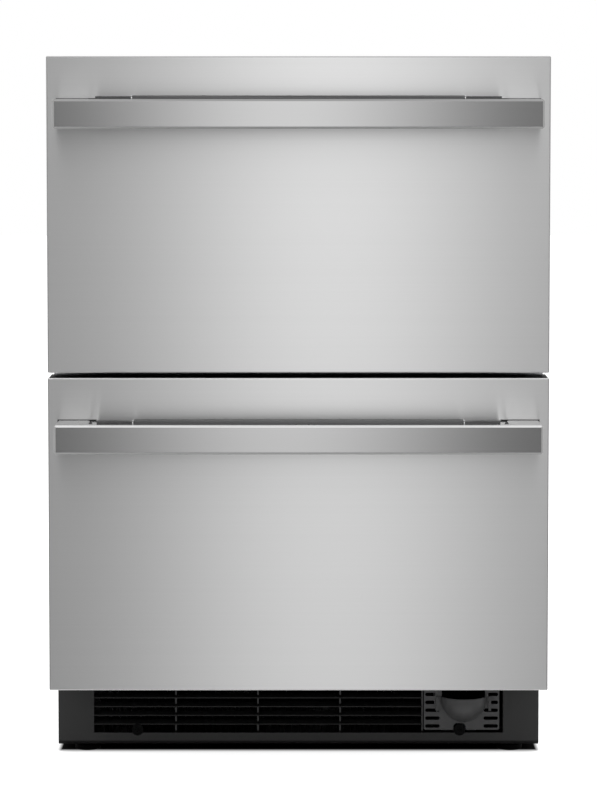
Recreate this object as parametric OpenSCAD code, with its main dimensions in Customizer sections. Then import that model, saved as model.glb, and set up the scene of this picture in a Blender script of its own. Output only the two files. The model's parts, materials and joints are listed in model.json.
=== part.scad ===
// Undercounter drawer freezer, 24 inch class, in millimetres.
// +X is to the right, the drawers open towards -Y, +Z is up.
// The origin is the centre of the footprint on the floor.

/* [Cabinet] */
// Width of the cabinet
cabinet_w = 598; // [592:1:602]
// Height from the floor to the top of the upper front, legs screwed in
unit_h = 867; // [860:1:890]
// Depth from the drawer fronts to the rear edge
unit_d = 610; // [600:1:640]
// Top of the cabinet below the top of the upper front
top_drop = 4; // [3:0.5:8]
// Sheet steel thickness
steel_t = 1.2; // [0.8:0.1:1.4]
// Liner side face to the outside of the cabinet
side_wall = 38; // [34:1:44]
// Liner ceiling to the top of the cabinet
top_wall = 38; // [32:1:46]
// Liner rear face to the rear edge
rear_wall = 50; // [44:1:56]
// Insulation under the lower compartment
floor_wall = 40; // [34:1:44]
// Insulated wall between the two compartments
divider_wall = 50; // [44:1:56]
// Wall of the moulded liners
liner_t = 2; // [1.5:0.1:2.6]
// Corner radius inside the liners
liner_r = 8; // [4:1:14]
// Thickness of the front frame that the gaskets seal on
frame_t = 1.5; // [1:0.1:2]
// Top of the insulated deck over the base
deck_z = 103; // [101:1:106]

/* [Machine room] */
// Front face of the machine room from the centre
machine_y0 = 110; // [104:1:116]
// Height of the machine room ceiling
machine_z1 = 212; // [208:1:218]
// Insulation between machine room and lower liner
step_wall = 36; // [32:1:40]
// Diameter of the compressor shell
compressor_d = 130; // [110:1:140]
// Height of the compressor shell
compressor_h = 146; // [120:1:155]
// Height of the rubber grommets
grommet_h = 12; // [9:1:16]
// Diameter of the condenser fan
cond_fan_d = 140; // [110:1:150]
// Height of the condenser coil
condenser_h = 72; // [50:1:76]

/* [Drawer fronts] */
// Width of a drawer front
front_w = 605; // [603:1:612]
// Depth of a drawer front at its folded edges
front_t = 46; // [40:1:50]
// Gap between the two drawer fronts
front_gap = 6; // [4:1:8]
// Floor to the lower edge of the lower front
kick_h = 99; // [97:1:104]
// Outer radius of the folded edges
fold_r = 1.8; // [1.4:0.1:2.4]
// Space between front and cabinet that the gasket fills
gasket_gap = 9; // [8:0.5:11]
// Width of the gasket
gasket_w = 14; // [11:1:16]

/* [Handles] */
// Length of a handle
handle_w = 582; // [560:1:592]
// Height of the handle bar
handle_h = 35; // [28:1:40]
// Distance from the front face to the face of the handle
handle_out = 55; // [50:1:60]
// Thickness of the bar
handle_t = 12; // [9:1:15]
// Front top edge to the top of the handle
handle_drop = 51; // [40:1:60]
// Bevel along the front edges of the bar
handle_bevel = 2.5; // [1:0.1:4]
// Length of the solid end block
handle_end_w = 40; // [34:1:42]
// Radius of the inner rear corner of an end block
handle_end_r = 10; // [6:1:12]
// Depth of the grip behind the bar
grip_d = 24; // [16:1:26]
// Length of the knurled part of the grip
knurl_w = 394; // [300:1:440]
// Height of the knurling above the smooth grip
knurl_h = 0.5; // [0.3:0.1:1]

/* [Drawers] */
// Travel of a drawer
travel = 400; // [300:5:410]
// Length of each slide member
slide_len = 420; // [412:1:422]
// Height of a slide
slide_h = 45; // [40:1:50]
// Width of a slide
slide_w = 12.5; // [12:0.1:13.5]
// Height of the lower slide over the step of the liner
slide_rise = 68; // [60:1:74]
// Wall of a bin
bin_t = 2.5; // [2:0.1:3]
// Corner radius of a bin
bin_r = 18; // [10:1:26]
// Height of the upper bin
upper_bin_h = 207; // [150:1:215]
// Width of the ice bin
ice_bin_w = 300; // [220:1:330]

/* [Toe kick] */
// Recess of the toe kick behind the drawer fronts
kick_recess = 90; // [85:1:95]
// Lower edge of the kick above the floor
kick_z0 = 12; // [11:1:16]
// Sheet thickness of the kick
kick_t = 1.5; // [1.2:0.1:2]
// Radius of the bend along its lower edge
kick_bend_r = 6; // [4:0.5:7]
// Inside of the cabinet wall to the vent opening
vent_side = 43.2; // [38:0.2:48]
// Lower edge of the vent opening
vent_z0 = 27; // [25:0.5:28]
// Upper edge of the vent opening
vent_z1 = 96; // [94:0.5:97]
// Height of the lowest louvre
louvre_z = 37.7; // [36:0.1:39]
// Louvre pitch
louvre_pitch = 11.05; // [9:0.05:13]
// Louvre thickness
louvre_t = 1.4; // [1:0.1:2]
// Louvre depth
louvre_d = 13; // [9:1:15]
// Width of one bay between mullions
bay_w = 102.2; // [98:0.2:103]
// Width of the bay that holds the flap
flap_bay_w = 100.6; // [98:0.1:103]

/* [Filter] */
// Width of the tilt-out flap
flap_w = 93.7; // [90:0.1:94]
// Height of the flap
flap_h = 60; // [58:0.5:61]
// Thickness of the flap
flap_t = 2.5; // [2:0.1:3]
// Width of the cup pull
cup_w = 58; // [48:1:60]
// How far the cup pull stands out
cup_out = 20; // [14:1:21]
// Diameter of the filter cartridge
cartridge_d = 56; // [50:1:58]
// Length of the filter cartridge
cartridge_l = 220; // [200:1:230]

/* [Legs] */
// Diameter of the foot
foot_d = 32; // [26:1:36]
// Height of the foot
foot_h = 8; // [6:0.5:9]
// Diameter of the threaded stem
stem_d = 10; // [8:1:12]
// Leg adjustment
leg_travel = 22; // [16:1:24]

/* [Hidden] */

$fn = 48;
eps = 1; // overshoot of cuts
fit = 0.05; // radial running clearance
seat = 0.3; // clearance between parts that move past each other
screw_head_h = 2;

// depth positions, front to back
handle_y = -(unit_d + handle_out) / 2;
front_y = handle_y + handle_out;
front_back_y = front_y + front_t;
cab_y = front_back_y + gasket_gap;
body_y0 = cab_y + frame_t;
rear_y = front_y + unit_d;
rear_panel_y = rear_y - screw_head_h;
liner_y1 = rear_y - rear_wall;
kick_y = front_y + kick_recess;

// heights, bottom to top
tray_t = 2;
tray_z0 = kick_z0 + kick_t;
tray_z1 = tray_z0 + tray_t;
front_h = (unit_h - kick_h - front_gap) / 2;
lower_front_z = kick_h;
upper_front_z = kick_h + front_h + front_gap;
cabinet_top = unit_h - top_drop;
toe_top = deck_z - steel_t;
upper_z1 = cabinet_top - top_wall;
split_z = upper_front_z - front_gap / 2;
upper_z0 = split_z + divider_wall / 2;
lower_z1 = split_z - divider_wall / 2;
lower_z0 = deck_z + floor_wall;
step_z = machine_z1 + steel_t + step_wall;
step_y = machine_y0 - steel_t - step_wall;

// widths
half_w = cabinet_w / 2;
in_w = half_w - steel_t;
liner_x = half_w - side_wall;
half_front = front_w / 2;
half_handle = handle_w / 2;
vent_half_w = in_w - vent_side;

// drawers
panel_rise = 6; // raised field on the back of a front
panel_y = front_back_y + panel_rise;
slide_y0 = cab_y + 4;
slide_y1 = slide_y0 + slide_len;
lower_slide_z = step_z + slide_rise;
slide_metal = 1.5;
plate_x = liner_x - slide_w;
arm_t = 1.5;
bin_half_w = plate_x - arm_t - 11;
bin_y0 = panel_y + 20;
bin_y1 = slide_y1 - 6;
rim_t = 2.5;
rim_lip = 4; // rim beyond the front and rear of the bin
rim_above_slide = 30; // slide centre to the underside of the rim
upper_bin_z = upper_z0 + 20;
upper_rim_z = upper_bin_z + upper_bin_h;
upper_slide_z = upper_rim_z - rim_above_slide;
lower_rim_z = lower_slide_z + rim_above_slide;
lower_bin_z = lower_z0 + 9;
shelf_z = step_z + 12; // rear shelf of the lower bin
shelf_y = step_y - 14;
ledge_w = 8;

// evaporator and ice maker
cover_t = 2;
evap_cover_y = slide_y1 + 4;
evap_fan_z = upper_z1 - 60;
evap_fan_d = 96;
motor_shaft_d = 5;
ice_y = step_y + 53;
ice_z = lower_z1 - 33;
mould_r = 26;
mould_w = 190;
ejector_d = 8;
bail_d = 4;
bail_y = ice_y - 45;
bail_z = ice_z - 59;
bail_half_w = 80;
bail_reach = 70;

// toe kick and filter
vent_y = kick_y + kick_t;
grille_t = 2;
grille_lap = 4; // grille frame below the vent opening
grille_side_lap = 6;
louvre_tilt = 12;
mullion_w = 2;
vent_bays = 4;
flap_mullion_x = vent_half_w - flap_bay_w;
flap_gap = 1.2;
flap_x0 = flap_mullion_x + mullion_w / 2 + flap_gap;
flap_x = flap_x0 + flap_w / 2;
flap_z0 = vent_z0 + 3.8;
hinge_pin_d = 3;
hinge_y = kick_y + flap_t + hinge_pin_d / 2;
hinge_z = flap_z0 + 2.7;
kick_screw_x = flap_x - 2.55;
kick_screw_z = vent_z0 + 4;
kick_screw_r = 6.8;
notch_r = kick_screw_r + 0.8;
cup_x = flap_x + 2.3;
cup_rim_z = flap_z0 + 41.9;
cup_drop = 32.5;
cup_rings = 6;
pocket_drop = 10; // finger pocket below the rim of the cup
pocket_d = 12;
cup_wall = 2;
slot_w = 18;
slot_h = 4.4;
slot_pitch = 9.95;
filter_z = tray_z1 + 43;
filter_y0 = kick_y + 26;
housing_wall = 2.5;
cartridge_gap = 0.5;
nipple_d = 16;

// base and legs
tray_y1 = rear_panel_y - steel_t - 0.8;
leg_x = half_w - 34;
leg_front_y = kick_y + 37;
leg_rear_y = rear_y - 38;
boss_h = 24; // threaded boss of a leg
boss_wall = 7;
tray_flange_h = 22;
wrapper_z0 = kick_z0 + kick_bend_r + 0.5;

// machine room
compressor_x = -in_w + compressor_d / 2 + 58;
compressor_y = (machine_y0 + rear_y) / 2 + 2;
shell_z = tray_z1 + grommet_h + 8;
stub_x = compressor_d / 2 - 10; // suction stub, from the axis of the shell
stub_y = 22;
stub_z = compressor_h - 8;
tube_y = liner_y1 + 26; // refrigerant lines behind the liners
coil_y1 = liner_y1 - 20; // rear face of the evaporator coil
evap_half_w = liner_x - 52;
suction_x = -evap_half_w + 59;
liquid_x = suction_x + 70;
grommet_x = 62;
grommet_y = 48;
terminal_out = 22; // terminal cover beyond the compressor shell
fan_margin = 22; // shroud plate beyond the fan
fan_clear = 27.8; // terminal cover to the shroud
fan_x = compressor_x + compressor_d / 2 + terminal_out + fan_clear + fan_margin + cond_fan_d / 2;
fan_z = (tray_z1 + machine_z1) / 2;
fan_y = machine_y0 + 6;
drain_x = leg_x - 75;
drain_y = rear_y - 26;
valve_x = drain_x + 48;
valve_z = tray_z1 + 42;
cover_screw_x = in_w - 10;
cover_screw_heights = [tray_z1 + 30, machine_z1 - 10];

module block(lo, hi) {
    translate(lo) cube(hi - lo);
}

module both_sides() {
    children();
    mirror([1, 0, 0]) children();
}

// children drawn in X and Z, extruded along Y
module along_y(y0, y1) {
    translate([0, y1, 0]) rotate([90, 0, 0]) linear_extrude(y1 - y0) children();
}

// children drawn in Y and Z, extruded along X
module along_x(x0, x1) {
    translate([x0, 0, 0]) rotate([90, 0, 90]) linear_extrude(x1 - x0) children();
}

module rod_y(x, z, r, y0, y1) {
    translate([x, y1, z]) rotate([90, 0, 0]) cylinder(r = r, h = y1 - y0);
}

module rod_x(y, z, r, x0, x1) {
    translate([x0, y, z]) rotate([0, 90, 0]) cylinder(r = r, h = x1 - x0);
}

module rod_z(x, y, r, z0, z1) {
    translate([x, y, z0]) cylinder(r = r, h = z1 - z0);
}

// rectangle from corner to corner with round corners
module round_rect(lo, hi, r) {
    translate([lo.x + r, lo.y]) square([hi.x - lo.x - 2 * r, hi.y - lo.y]);
    translate([lo.x, lo.y + r]) square([hi.x - lo.x, hi.y - lo.y - 2 * r]);
    for (x = [lo.x + r, hi.x - r], y = [lo.y + r, hi.y - r])
        translate([x, y]) circle(r);
}

// tube along a list of points, with round elbows
module tube(points, d) {
    for (i = [0:len(points) - 2]) {
        v = points[i + 1] - points[i];
        translate(points[i])
            rotate([0, acos(v.z / norm(v)), atan2(v.y, v.x)])
                cylinder(d = d, h = norm(v));
    }
    for (i = [1:len(points) - 2])
        translate(points[i]) sphere(d = d);
}

// Cabinet

module cabinet_wrapper() color([0.30, 0.31, 0.32]) {
    both_sides() difference() {
        block([in_w, body_y0, wrapper_z0], [half_w, rear_y, cabinet_top]);
        block([in_w - eps, body_y0 - eps, wrapper_z0 - eps],
            [half_w + eps, vent_y, toe_top]);
    }
    block([-half_w, body_y0, cabinet_top - steel_t], [half_w, rear_y, cabinet_top]);
}

// deck over the base, riser, machine room ceiling and rear wall in one folded sheet
module back_deck_panel() color([0.62, 0.64, 0.66])
    difference() {
        along_x(-in_w, in_w) {
            translate([body_y0, toe_top]) square([machine_y0 - body_y0, steel_t]);
            translate([machine_y0 - steel_t, toe_top])
                square([steel_t, machine_z1 - toe_top + steel_t]);
            translate([machine_y0 - steel_t, machine_z1])
                square([rear_panel_y - machine_y0 + steel_t, steel_t]);
            translate([rear_panel_y - steel_t, machine_z1])
                square([steel_t, cabinet_top - steel_t - machine_z1]);
        }
        drain_run(5.5);
        tube(suction_route(), 9);
        tube(liquid_route(), 7);
    }

module upper_cavity(grow, y0)
    along_y(y0, liner_y1 + grow)
        round_rect([-liner_x - grow, upper_z0 - grow], [liner_x + grow, upper_z1 + grow],
            liner_r + grow);

module lower_cavity(grow, y0) {
    along_y(y0, step_y + grow)
        round_rect([-liner_x - grow, lower_z0 - grow], [liner_x + grow, lower_z1 + grow],
            liner_r + grow);
    along_y(y0, liner_y1 + grow)
        round_rect([-liner_x - grow, step_z - grow], [liner_x + grow, lower_z1 + grow],
            liner_r + grow);
}

module insulation_foam() color([0.93, 0.88, 0.70])
    difference() {
        block([-in_w, body_y0, deck_z],
            [in_w, rear_panel_y - steel_t, cabinet_top - steel_t]);
        block([-in_w - eps, machine_y0 - steel_t, deck_z - eps],
            [in_w + eps, rear_y, machine_z1 + steel_t]);
        upper_cavity(liner_t, body_y0 - eps);
        lower_cavity(liner_t, body_y0 - eps);
        drain_run(5.5);
        tube(suction_route(), 9);
        tube(liquid_route(), 7);
    }

module upper_liner() color([0.90, 0.91, 0.92])
    difference() {
        upper_cavity(liner_t, body_y0);
        upper_cavity(0, body_y0 - eps);
        tube(suction_route(), 9);
        tube(liquid_route(), 7);
        drain_run(5.5);
    }

module lower_liner() color([0.90, 0.91, 0.92])
    difference() {
        lower_cavity(liner_t, body_y0);
        lower_cavity(0, body_y0 - eps);
    }

module front_frame() color([0.80, 0.81, 0.82])
    along_y(cab_y, body_y0) difference() {
        translate([-half_w, toe_top]) square([cabinet_w, cabinet_top - toe_top]);
        round_rect([-liner_x, upper_z0], [liner_x, upper_z1], liner_r);
        round_rect([-liner_x, lower_z0], [liner_x, lower_z1], liner_r);
    }

module counter_brackets() color([0.62, 0.64, 0.66])
    both_sides() difference() {
        union() {
            block([bracket_x - 24, bracket_y - 12, cabinet_top],
                [bracket_x + 24, bracket_y + 30, cabinet_top + bracket_t]);
            block([bracket_x - 24, bracket_y - 12, unit_h - bracket_t],
                [bracket_x + 24, bracket_y + 12, unit_h]);
            block([bracket_x - 24, bracket_y + 12 - bracket_t, cabinet_top],
                [bracket_x + 24, bracket_y + 12, unit_h]);
        }
        for (s = [-1, 1])
            rod_z(bracket_x + s * bracket_hole_dx, bracket_y, bracket_hole_r,
                cabinet_top - eps, unit_h + eps);
    }
bracket_x = 220;
bracket_y = body_y0 + 14;
bracket_t = 1.5;
bracket_hole_dx = 14;
bracket_hole_r = 2.5;

module base_tray() color([0.42, 0.43, 0.44])
    difference() {
        union() {
            block([-in_w, kick_y + kick_bend_r, tray_z0], [in_w, tray_y1, tray_z1]);
            both_sides()
                block([in_w - tray_t, leg_front_y - 20, tray_z1],
                    [in_w, tray_y1, tray_z1 + tray_flange_h]);
            for (y = [leg_front_y, leg_rear_y])
                both_sides() rod_z(leg_x, y, stem_d / 2 + boss_wall, tray_z0, tray_z1 + boss_h);
        }
        for (y = [leg_front_y, leg_rear_y])
            both_sides()
                rod_z(leg_x, y, stem_d / 2 + fit, tray_z0 - eps, tray_z1 + boss_h + eps);
    }

module leg(side, y) color([0.12, 0.12, 0.12]) {
    rod_z(side * leg_x, y, foot_d / 2, 0, foot_h - 2);
    translate([side * leg_x, y, foot_h - 2])
        cylinder(r1 = foot_d / 2, r2 = foot_d / 2 - 3, h = 2);
    rod_z(side * leg_x, y, stem_d / 2, foot_h - 1, tray_z1 + boss_h + leg_travel + 2);
}

// Toe kick

module kick_frame() color([0.13, 0.13, 0.13]) {
    difference() {
        union() {
            along_x(-half_w, half_w) {
                translate([kick_y, kick_z0 + kick_bend_r])
                    square([kick_t, toe_top - kick_z0 - kick_bend_r]);
                intersection() {
                    translate([kick_y, kick_z0]) square([kick_bend_r, kick_bend_r]);
                    translate([kick_y + kick_bend_r, kick_z0 + kick_bend_r])
                        difference() {
                            circle(kick_bend_r);
                            circle(kick_bend_r - kick_t);
                        }
                }
                translate([kick_y + kick_bend_r, kick_z0])
                    square([kick_lip - kick_bend_r, kick_t]);
            }
            block([-in_w, kick_y, toe_top - kick_t], [in_w, kick_y + kick_lip, toe_top]);
        }
        block([-vent_half_w, kick_y - eps, vent_z0], [vent_half_w, vent_y + eps, vent_z1]);
        both_sides() rod_y(kick_screw_x, kick_screw_z, notch_r, kick_y - eps, vent_y + eps);
    }
    both_sides() block([in_w - kick_t, vent_y, wrapper_z0], [in_w, kick_y + kick_lip, toe_top]);
}
kick_lip = 16;

module louvre(z, x0, x1)
    translate([x0, kick_y + 0.5, z])
        rotate([louvre_tilt, 0, 0])
            translate([0, 0, -louvre_t / 2]) cube([x1 - x0, louvre_d, louvre_t]);

module vent_grille() color([0.10, 0.10, 0.10]) {
    x_end = vent_half_w + grille_side_lap;
    z_low = vent_z0 - grille_lap;
    side_t = 2.5;
    louvre_count = floor((vent_z1 - louvre_z) / louvre_pitch) + 1;
    difference() {
        union() {
            along_y(vent_y, vent_y + grille_t) difference() {
                translate([-x_end, z_low]) square([2 * x_end, vent_z1 + 3 - z_low]);
                translate([-vent_half_w, vent_z0])
                    square([2 * vent_half_w, vent_z1 - vent_z0]);
            }
            for (i = [0:louvre_count - 1])
                louvre(louvre_z + i * louvre_pitch, -vent_half_w, flap_mullion_x);
            for (i = [0:vent_bays - 1]) {
                x = flap_mullion_x - i * bay_w;
                block([x - mullion_w / 2, kick_y + 1, vent_z0],
                    [x + mullion_w / 2, kick_y + louvre_d, vent_z1]);
            }
            both_sides()
                block([vent_half_w, vent_y, z_low],
                    [vent_half_w + side_t, kick_y + louvre_d, vent_z1 + 2]);
            both_sides() along_y(vent_y + grille_t, vent_y + 2 * grille_t) {
                translate([kick_screw_x, kick_screw_z]) circle(kick_screw_r);
                translate([kick_screw_x - kick_screw_r, z_low])
                    square([2 * kick_screw_r, kick_screw_z - z_low]);
            }
        }
        both_sides()
            rod_y(kick_screw_x, kick_screw_z, 2.1, kick_y - eps, kick_y + louvre_d + eps);
        for (x = [flap_mullion_x, vent_half_w])
            rod_x(hinge_y, hinge_z, hinge_pin_d / 2 + fit, x - mullion_w, x + 4);
        both_sides()
            rod_y(kick_screw_x, kick_screw_z, notch_r, kick_y - eps, vent_y + grille_t);
    }
}

module screws() color([0.10, 0.10, 0.10]) {
    both_sides() {
        rod_y(kick_screw_x, kick_screw_z, 2, vent_y + 1, vent_y + 9);
        difference() {
            rod_y(kick_screw_x, kick_screw_z, kick_screw_r, kick_y + 0.5, vent_y + grille_t);
            for (a = [0, 90])
                translate([kick_screw_x, kick_y, kick_screw_z])
                    rotate([0, a, 0]) cube([6, 3, 1.2], center = true);
        }
        for (z = cover_screw_heights) {
            rod_y(cover_screw_x, z, 1.8, rear_panel_y - steel_t - 4, rear_panel_y + 1);
            rod_y(cover_screw_x, z, 4, rear_panel_y, rear_y);
        }
    }
}

// half bowl round a vertical axis behind the flap, an ellipse as seen from the front
module bowl(half_w, drop, toe_r, over = 0)
    translate([cup_x, kick_y + toe_r, cup_rim_z])
        rotate_extrude()
            polygon(concat([[0, over]], over > 0 ? [[norm([half_w, toe_r]), over]] : [], [
                for (i = [0:cup_rings])
                    let (a = i * 90 / cup_rings)
                        [sqrt(pow(half_w * cos(a), 2) + pow(toe_r, 2)), -drop * sin(a)]
            ], [[0, -drop]]));

// flap over the filter, hinged at its lower edge, with a cup pull
module filter_flap() color([0.22, 0.22, 0.23]) {
    half_w = cup_w / 2;
    toe_r = (pow(half_w, 2) - pow(cup_out, 2)) / (2 * cup_out);
    pocket_w = half_w - cup_wall;
    pocket_z0 = cup_rim_z - pocket_drop;
    pocket_z1 = flap_z0 + flap_h - 4;
    difference() {
        union() {
            along_y(kick_y, kick_y + flap_t)
                round_rect([flap_x - flap_w / 2, flap_z0],
                    [flap_x + flap_w / 2, flap_z0 + flap_h], 2);
            intersection() {
                bowl(half_w, cup_drop, toe_r);
                block([cup_x - cup_w, kick_y - cup_out - eps, flap_z0],
                    [cup_x + cup_w, kick_y + 0.5, flap_z0 + flap_h]);
            }
            for (s = [-1, 1])
                block([cup_x + s * (half_w + 3.6) - 1.6, kick_y - 3, cup_rim_z - 17.5],
                    [cup_x + s * (half_w + 3.6) + 1.6, kick_y + 1, cup_rim_z + 0.5]);
            block([cup_x - half_w, kick_y + 1, pocket_z0 - cup_wall],
                [cup_x + half_w, kick_y + flap_t + pocket_d, pocket_z1 + cup_wall]);
            rod_x(hinge_y, hinge_z, hinge_pin_d / 2, flap_x0 - flap_gap - 0.8,
                flap_x0 + 12);
            rod_x(hinge_y, hinge_z, hinge_pin_d / 2, flap_x0 + flap_w - 12,
                vent_half_w + 2);
            for (x = [flap_x0 + 2, flap_x0 + flap_w - 6])
                along_x(x, x + 4) {
                    translate([hinge_y, hinge_z]) circle(hinge_pin_d);
                    translate([kick_y + 1, hinge_z - 2])
                        square([hinge_y - kick_y - 1, 2 + hinge_pin_d]);
                }
        }
        // inside of the cup and the finger pocket
        intersection() {
            bowl(pocket_w, cup_drop - cup_wall, toe_r, eps);
            block([cup_x - cup_w, kick_y - cup_out, flap_z0],
                [cup_x + cup_w, kick_y + 1, flap_z0 + flap_h]);
        }
        block([cup_x - pocket_w, kick_y - 0.5, pocket_z0],
            [cup_x + pocket_w, kick_y + flap_t + pocket_d - cup_wall, pocket_z1]);
        for (i = [0:4], s = [-1, 1]) {
            short = i > 2 ? 5.5 : 0;
            x = flap_x + s * (flap_w / 2 - 1.5);
            along_y(kick_y - eps, kick_y + flap_t + eps)
                translate([x - s * (slot_w - short) / 2, flap_z0 + 4.7 + i * slot_pitch])
                    round_rect([-(slot_w - short) / 2, -slot_h / 2],
                        [(slot_w - short) / 2, slot_h / 2], slot_h / 2 - 0.01);
        }
        // notch that clears the screw head while the flap tilts
        along_y(kick_y - eps, kick_y + flap_t + 4 * eps)
            round_rect([kick_screw_x - notch_r - 0.3, flap_z0 - 2 * notch_r],
                [kick_screw_x + notch_r + 0.3, kick_screw_z + notch_r + 0.8], 5);
    }
}

// Water filter and inlet

module filter_housing() color([0.85, 0.86, 0.87]) {
    y1 = filter_y0 + cartridge_l + 14;
    r = cartridge_d / 2 + cartridge_gap;
    difference() {
        union() {
            rod_y(flap_x, filter_z, r + housing_wall, filter_y0 + 10, y1);
            rod_y(flap_x, filter_z, r + housing_wall + 1.5, filter_y0 + 10, filter_y0 + 16);
            rod_y(flap_x, filter_z, nipple_d / 2 + 5, y1 - eps, y1 + 14);
            for (y = [filter_y0 + 40, y1 - 40])
                block([flap_x - 22, y, tray_z1], [flap_x + 22, y + 12, filter_z]);
            for (s = [-1, 1])
                rod_x(y1 + 4, filter_z, 5, flap_x + min(0, s * 34), flap_x + max(0, s * 34));
        }
        rod_y(flap_x, filter_z, r, filter_y0, y1 - 6);
        rod_y(flap_x, filter_z, nipple_d / 2 + fit, filter_y0, y1 + 6);
    }
}

module filter_cartridge() color([0.95, 0.95, 0.94]) {
    y0 = filter_y0 + 6;
    rod_y(flap_x, filter_z, cartridge_d / 2, y0, y0 + cartridge_l);
    rod_y(flap_x, filter_z, nipple_d / 2, y0 + cartridge_l - eps, y0 + cartridge_l + 12);
}

module filter_cap() color([0.25, 0.26, 0.27]) {
    r = cartridge_d / 2 + 3;
    rod_y(flap_x, filter_z, r, filter_y0, filter_y0 + 6);
    block([flap_x - 4, filter_y0 - 9, filter_z - r + 8],
        [flap_x + 4, filter_y0 + eps, filter_z + r - 8]);
}

module water_inlet_valve() color([0.88, 0.88, 0.86]) {
    x = valve_x;
    z = valve_z;
    body_half = 14;
    foot_y = rear_y - 62;
    body_y1 = rear_y - 22;
    block([x - body_half - 2, foot_y, tray_z1], [x + body_half + 2, foot_y + 4, z + 18]);
    block([x - body_half, foot_y + 4, z - body_half], [x + body_half, body_y1, z + body_half]);
    difference() {
        rod_y(x, z, valve_port_d / 2, body_y1 - eps, rear_y);
        rod_y(x, z, valve_bore_d / 2, rear_y - valve_bore_l, rear_y + eps);
    }
    rod_z(x, rear_y - 40, 11, z + body_half, z + 40); // solenoid
}
valve_port_d = 20;
valve_bore_d = 6.4;
valve_bore_l = 14;

module power_inlet() color([0.10, 0.10, 0.11])
    difference() {
        block([power_x - inlet_half_w, rear_panel_y - 24, power_z - inlet_half_h],
            [power_x + inlet_half_w, rear_y, power_z + inlet_half_h]);
        along_y(rear_y - socket_depth, rear_y + eps)
            round_rect([power_x - socket_half_w, power_z - socket_half_h],
                [power_x + socket_half_w, power_z + socket_half_h], 3);
    }
power_x = half_w - 60;
power_z = machine_z1 - 60;
inlet_half_w = 24;
inlet_half_h = 16;
socket_half_w = 12.5;
socket_half_h = 8.5;
socket_depth = 16;

// box under the machine room ceiling, hung by its two flanges
module control_box() color([0.78, 0.79, 0.80]) {
    x1 = in_w - control_side;
    control_w = x1 - control_flange - control_clear - fan_x - cond_fan_d / 2 - fan_margin;
    y0 = machine_y0 + control_front;
    block([x1 - control_w, y0, machine_z1 - control_h], [x1, y0 + control_d, machine_z1]);
    block([x1 - control_w - control_flange, y0 + control_d / 6, machine_z1 - 3],
        [x1 + control_flange, y0 + control_d * 5 / 6, machine_z1]);
}
control_clear = 17.8; // fan shroud to the flange of the box
control_d = 90;
control_h = 84;
control_flange = 6;
control_side = 20; // to the side of the machine room
control_front = 14; // to the front of the machine room

// Cooling

module compressor() color([0.12, 0.12, 0.12]) {
    r = compressor_d / 2;
    z0 = shell_z;
    dome = 34;
    translate([compressor_x, compressor_y, z0]) {
        rotate_extrude() {
            intersection() {
                union() {
                    translate([0, 12]) square([r, compressor_h - dome - 12]);
                    translate([0, compressor_h - dome]) scale([r / dome, 1]) circle(dome);
                    square([r - 12, 14]);
                }
                square([r, compressor_h]);
            }
            translate([0, compressor_h - dome - 34]) square([r + 3, 5]);
        }
        rod_z(stub_x, stub_y, 5, compressor_h - dome - 4, stub_z);
    }
    // foot plate on four grommets
    difference() {
        block([compressor_x - grommet_x - 14, compressor_y - grommet_y - 12,
            tray_z1 + grommet_h],
            [compressor_x + grommet_x + 14, compressor_y + grommet_y + 12,
            tray_z1 + grommet_h + 3]);
        for (x = [-1, 1], y = [-1, 1])
            rod_z(compressor_x + x * grommet_x, compressor_y + y * grommet_y, 6.1,
                0, tray_z1 + grommet_h + 9);
    }
    rod_z(compressor_x, compressor_y, r - 16, tray_z1 + grommet_h + 2, z0 + eps);
    block([compressor_x + r - 16, compressor_y - 24, z0 + 40],
        [compressor_x + r + terminal_out, compressor_y + 24, z0 + 92]);
}

module compressor_grommets() color([0.08, 0.08, 0.08])
    for (x = [-1, 1], y = [-1, 1])
        translate([compressor_x + x * grommet_x, compressor_y + y * grommet_y, tray_z1]) {
            cylinder(r = 10, h = grommet_h);
            cylinder(r = 6, h = grommet_h + 6);
        }

module fin_block(x0, x1, y0, y1, z0, z1, pitch, fin_t) {
    count = floor((x1 - x0 - fin_t) / pitch);
    for (i = [0:count])
        block([x0 + i * pitch, y0, z0], [x0 + i * pitch + fin_t, y1, z1]);
}

module condenser_coil() color([0.72, 0.74, 0.76]) {
    x0 = -in_w + 56;
    x1 = flap_x - cartridge_d / 2 - 50;
    y0 = kick_y + 28;
    y1 = y0 + 44;
    z0 = tray_z1 + 6;
    z1 = z0 + condenser_h;
    fin_block(x0, x1, y0, y1, z0, z1, 9, 1);
    for (i = [0:2])
        rod_x((y0 + y1) / 2 + (i % 2 == 0 ? -11 : 11), z0 + 12 + i * (condenser_h - 24) / 2, 4,
            x0 - 8, x1 + 8);
    block([x0 - 1, y0, tray_z1], [x0 + 1, y1, z1]);
    block([x1 - 1, y0, tray_z1], [x1 + 1, y1, z1]);
}

module condenser_fan_shroud() color([0.14, 0.14, 0.15])
    difference() {
        union() {
            block([fan_x - cond_fan_d / 2 - fan_margin, fan_y, tray_z1],
                [fan_x + cond_fan_d / 2 + fan_margin, fan_y + 3, machine_z1]);
            rod_y(fan_x, fan_z, cond_fan_d / 2 + 6, fan_y, fan_y + 28);
        }
        rod_y(fan_x, fan_z, cond_fan_d / 2 + 3, fan_y - eps, fan_y + 28 + eps);
    }

// fan wheel on a motor shaft that points to the front
module fan_wheel(x, y, z, d, hub_d, depth) {
    blades = 5;
    difference() {
        union() {
            rod_y(x, z, hub_d / 2, y, y + depth);
            translate([x, y + depth / 2, z]) intersection() {
                for (i = [0:blades - 1])
                    rotate([0, i * 360 / blades, 0])
                        translate([0, 0, hub_d / 2 - 2]) rotate([0, 0, 32])
                            translate([-d / 5, -0.8, 0]) cube([d / 2.5, 1.6, d / 2]);
                rotate([90, 0, 0]) cylinder(d = d, h = depth, center = true);
            }
        }
        rod_y(x, z, motor_shaft_d / 2 + fit, y + 4, y + depth + eps);
    }
}

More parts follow.
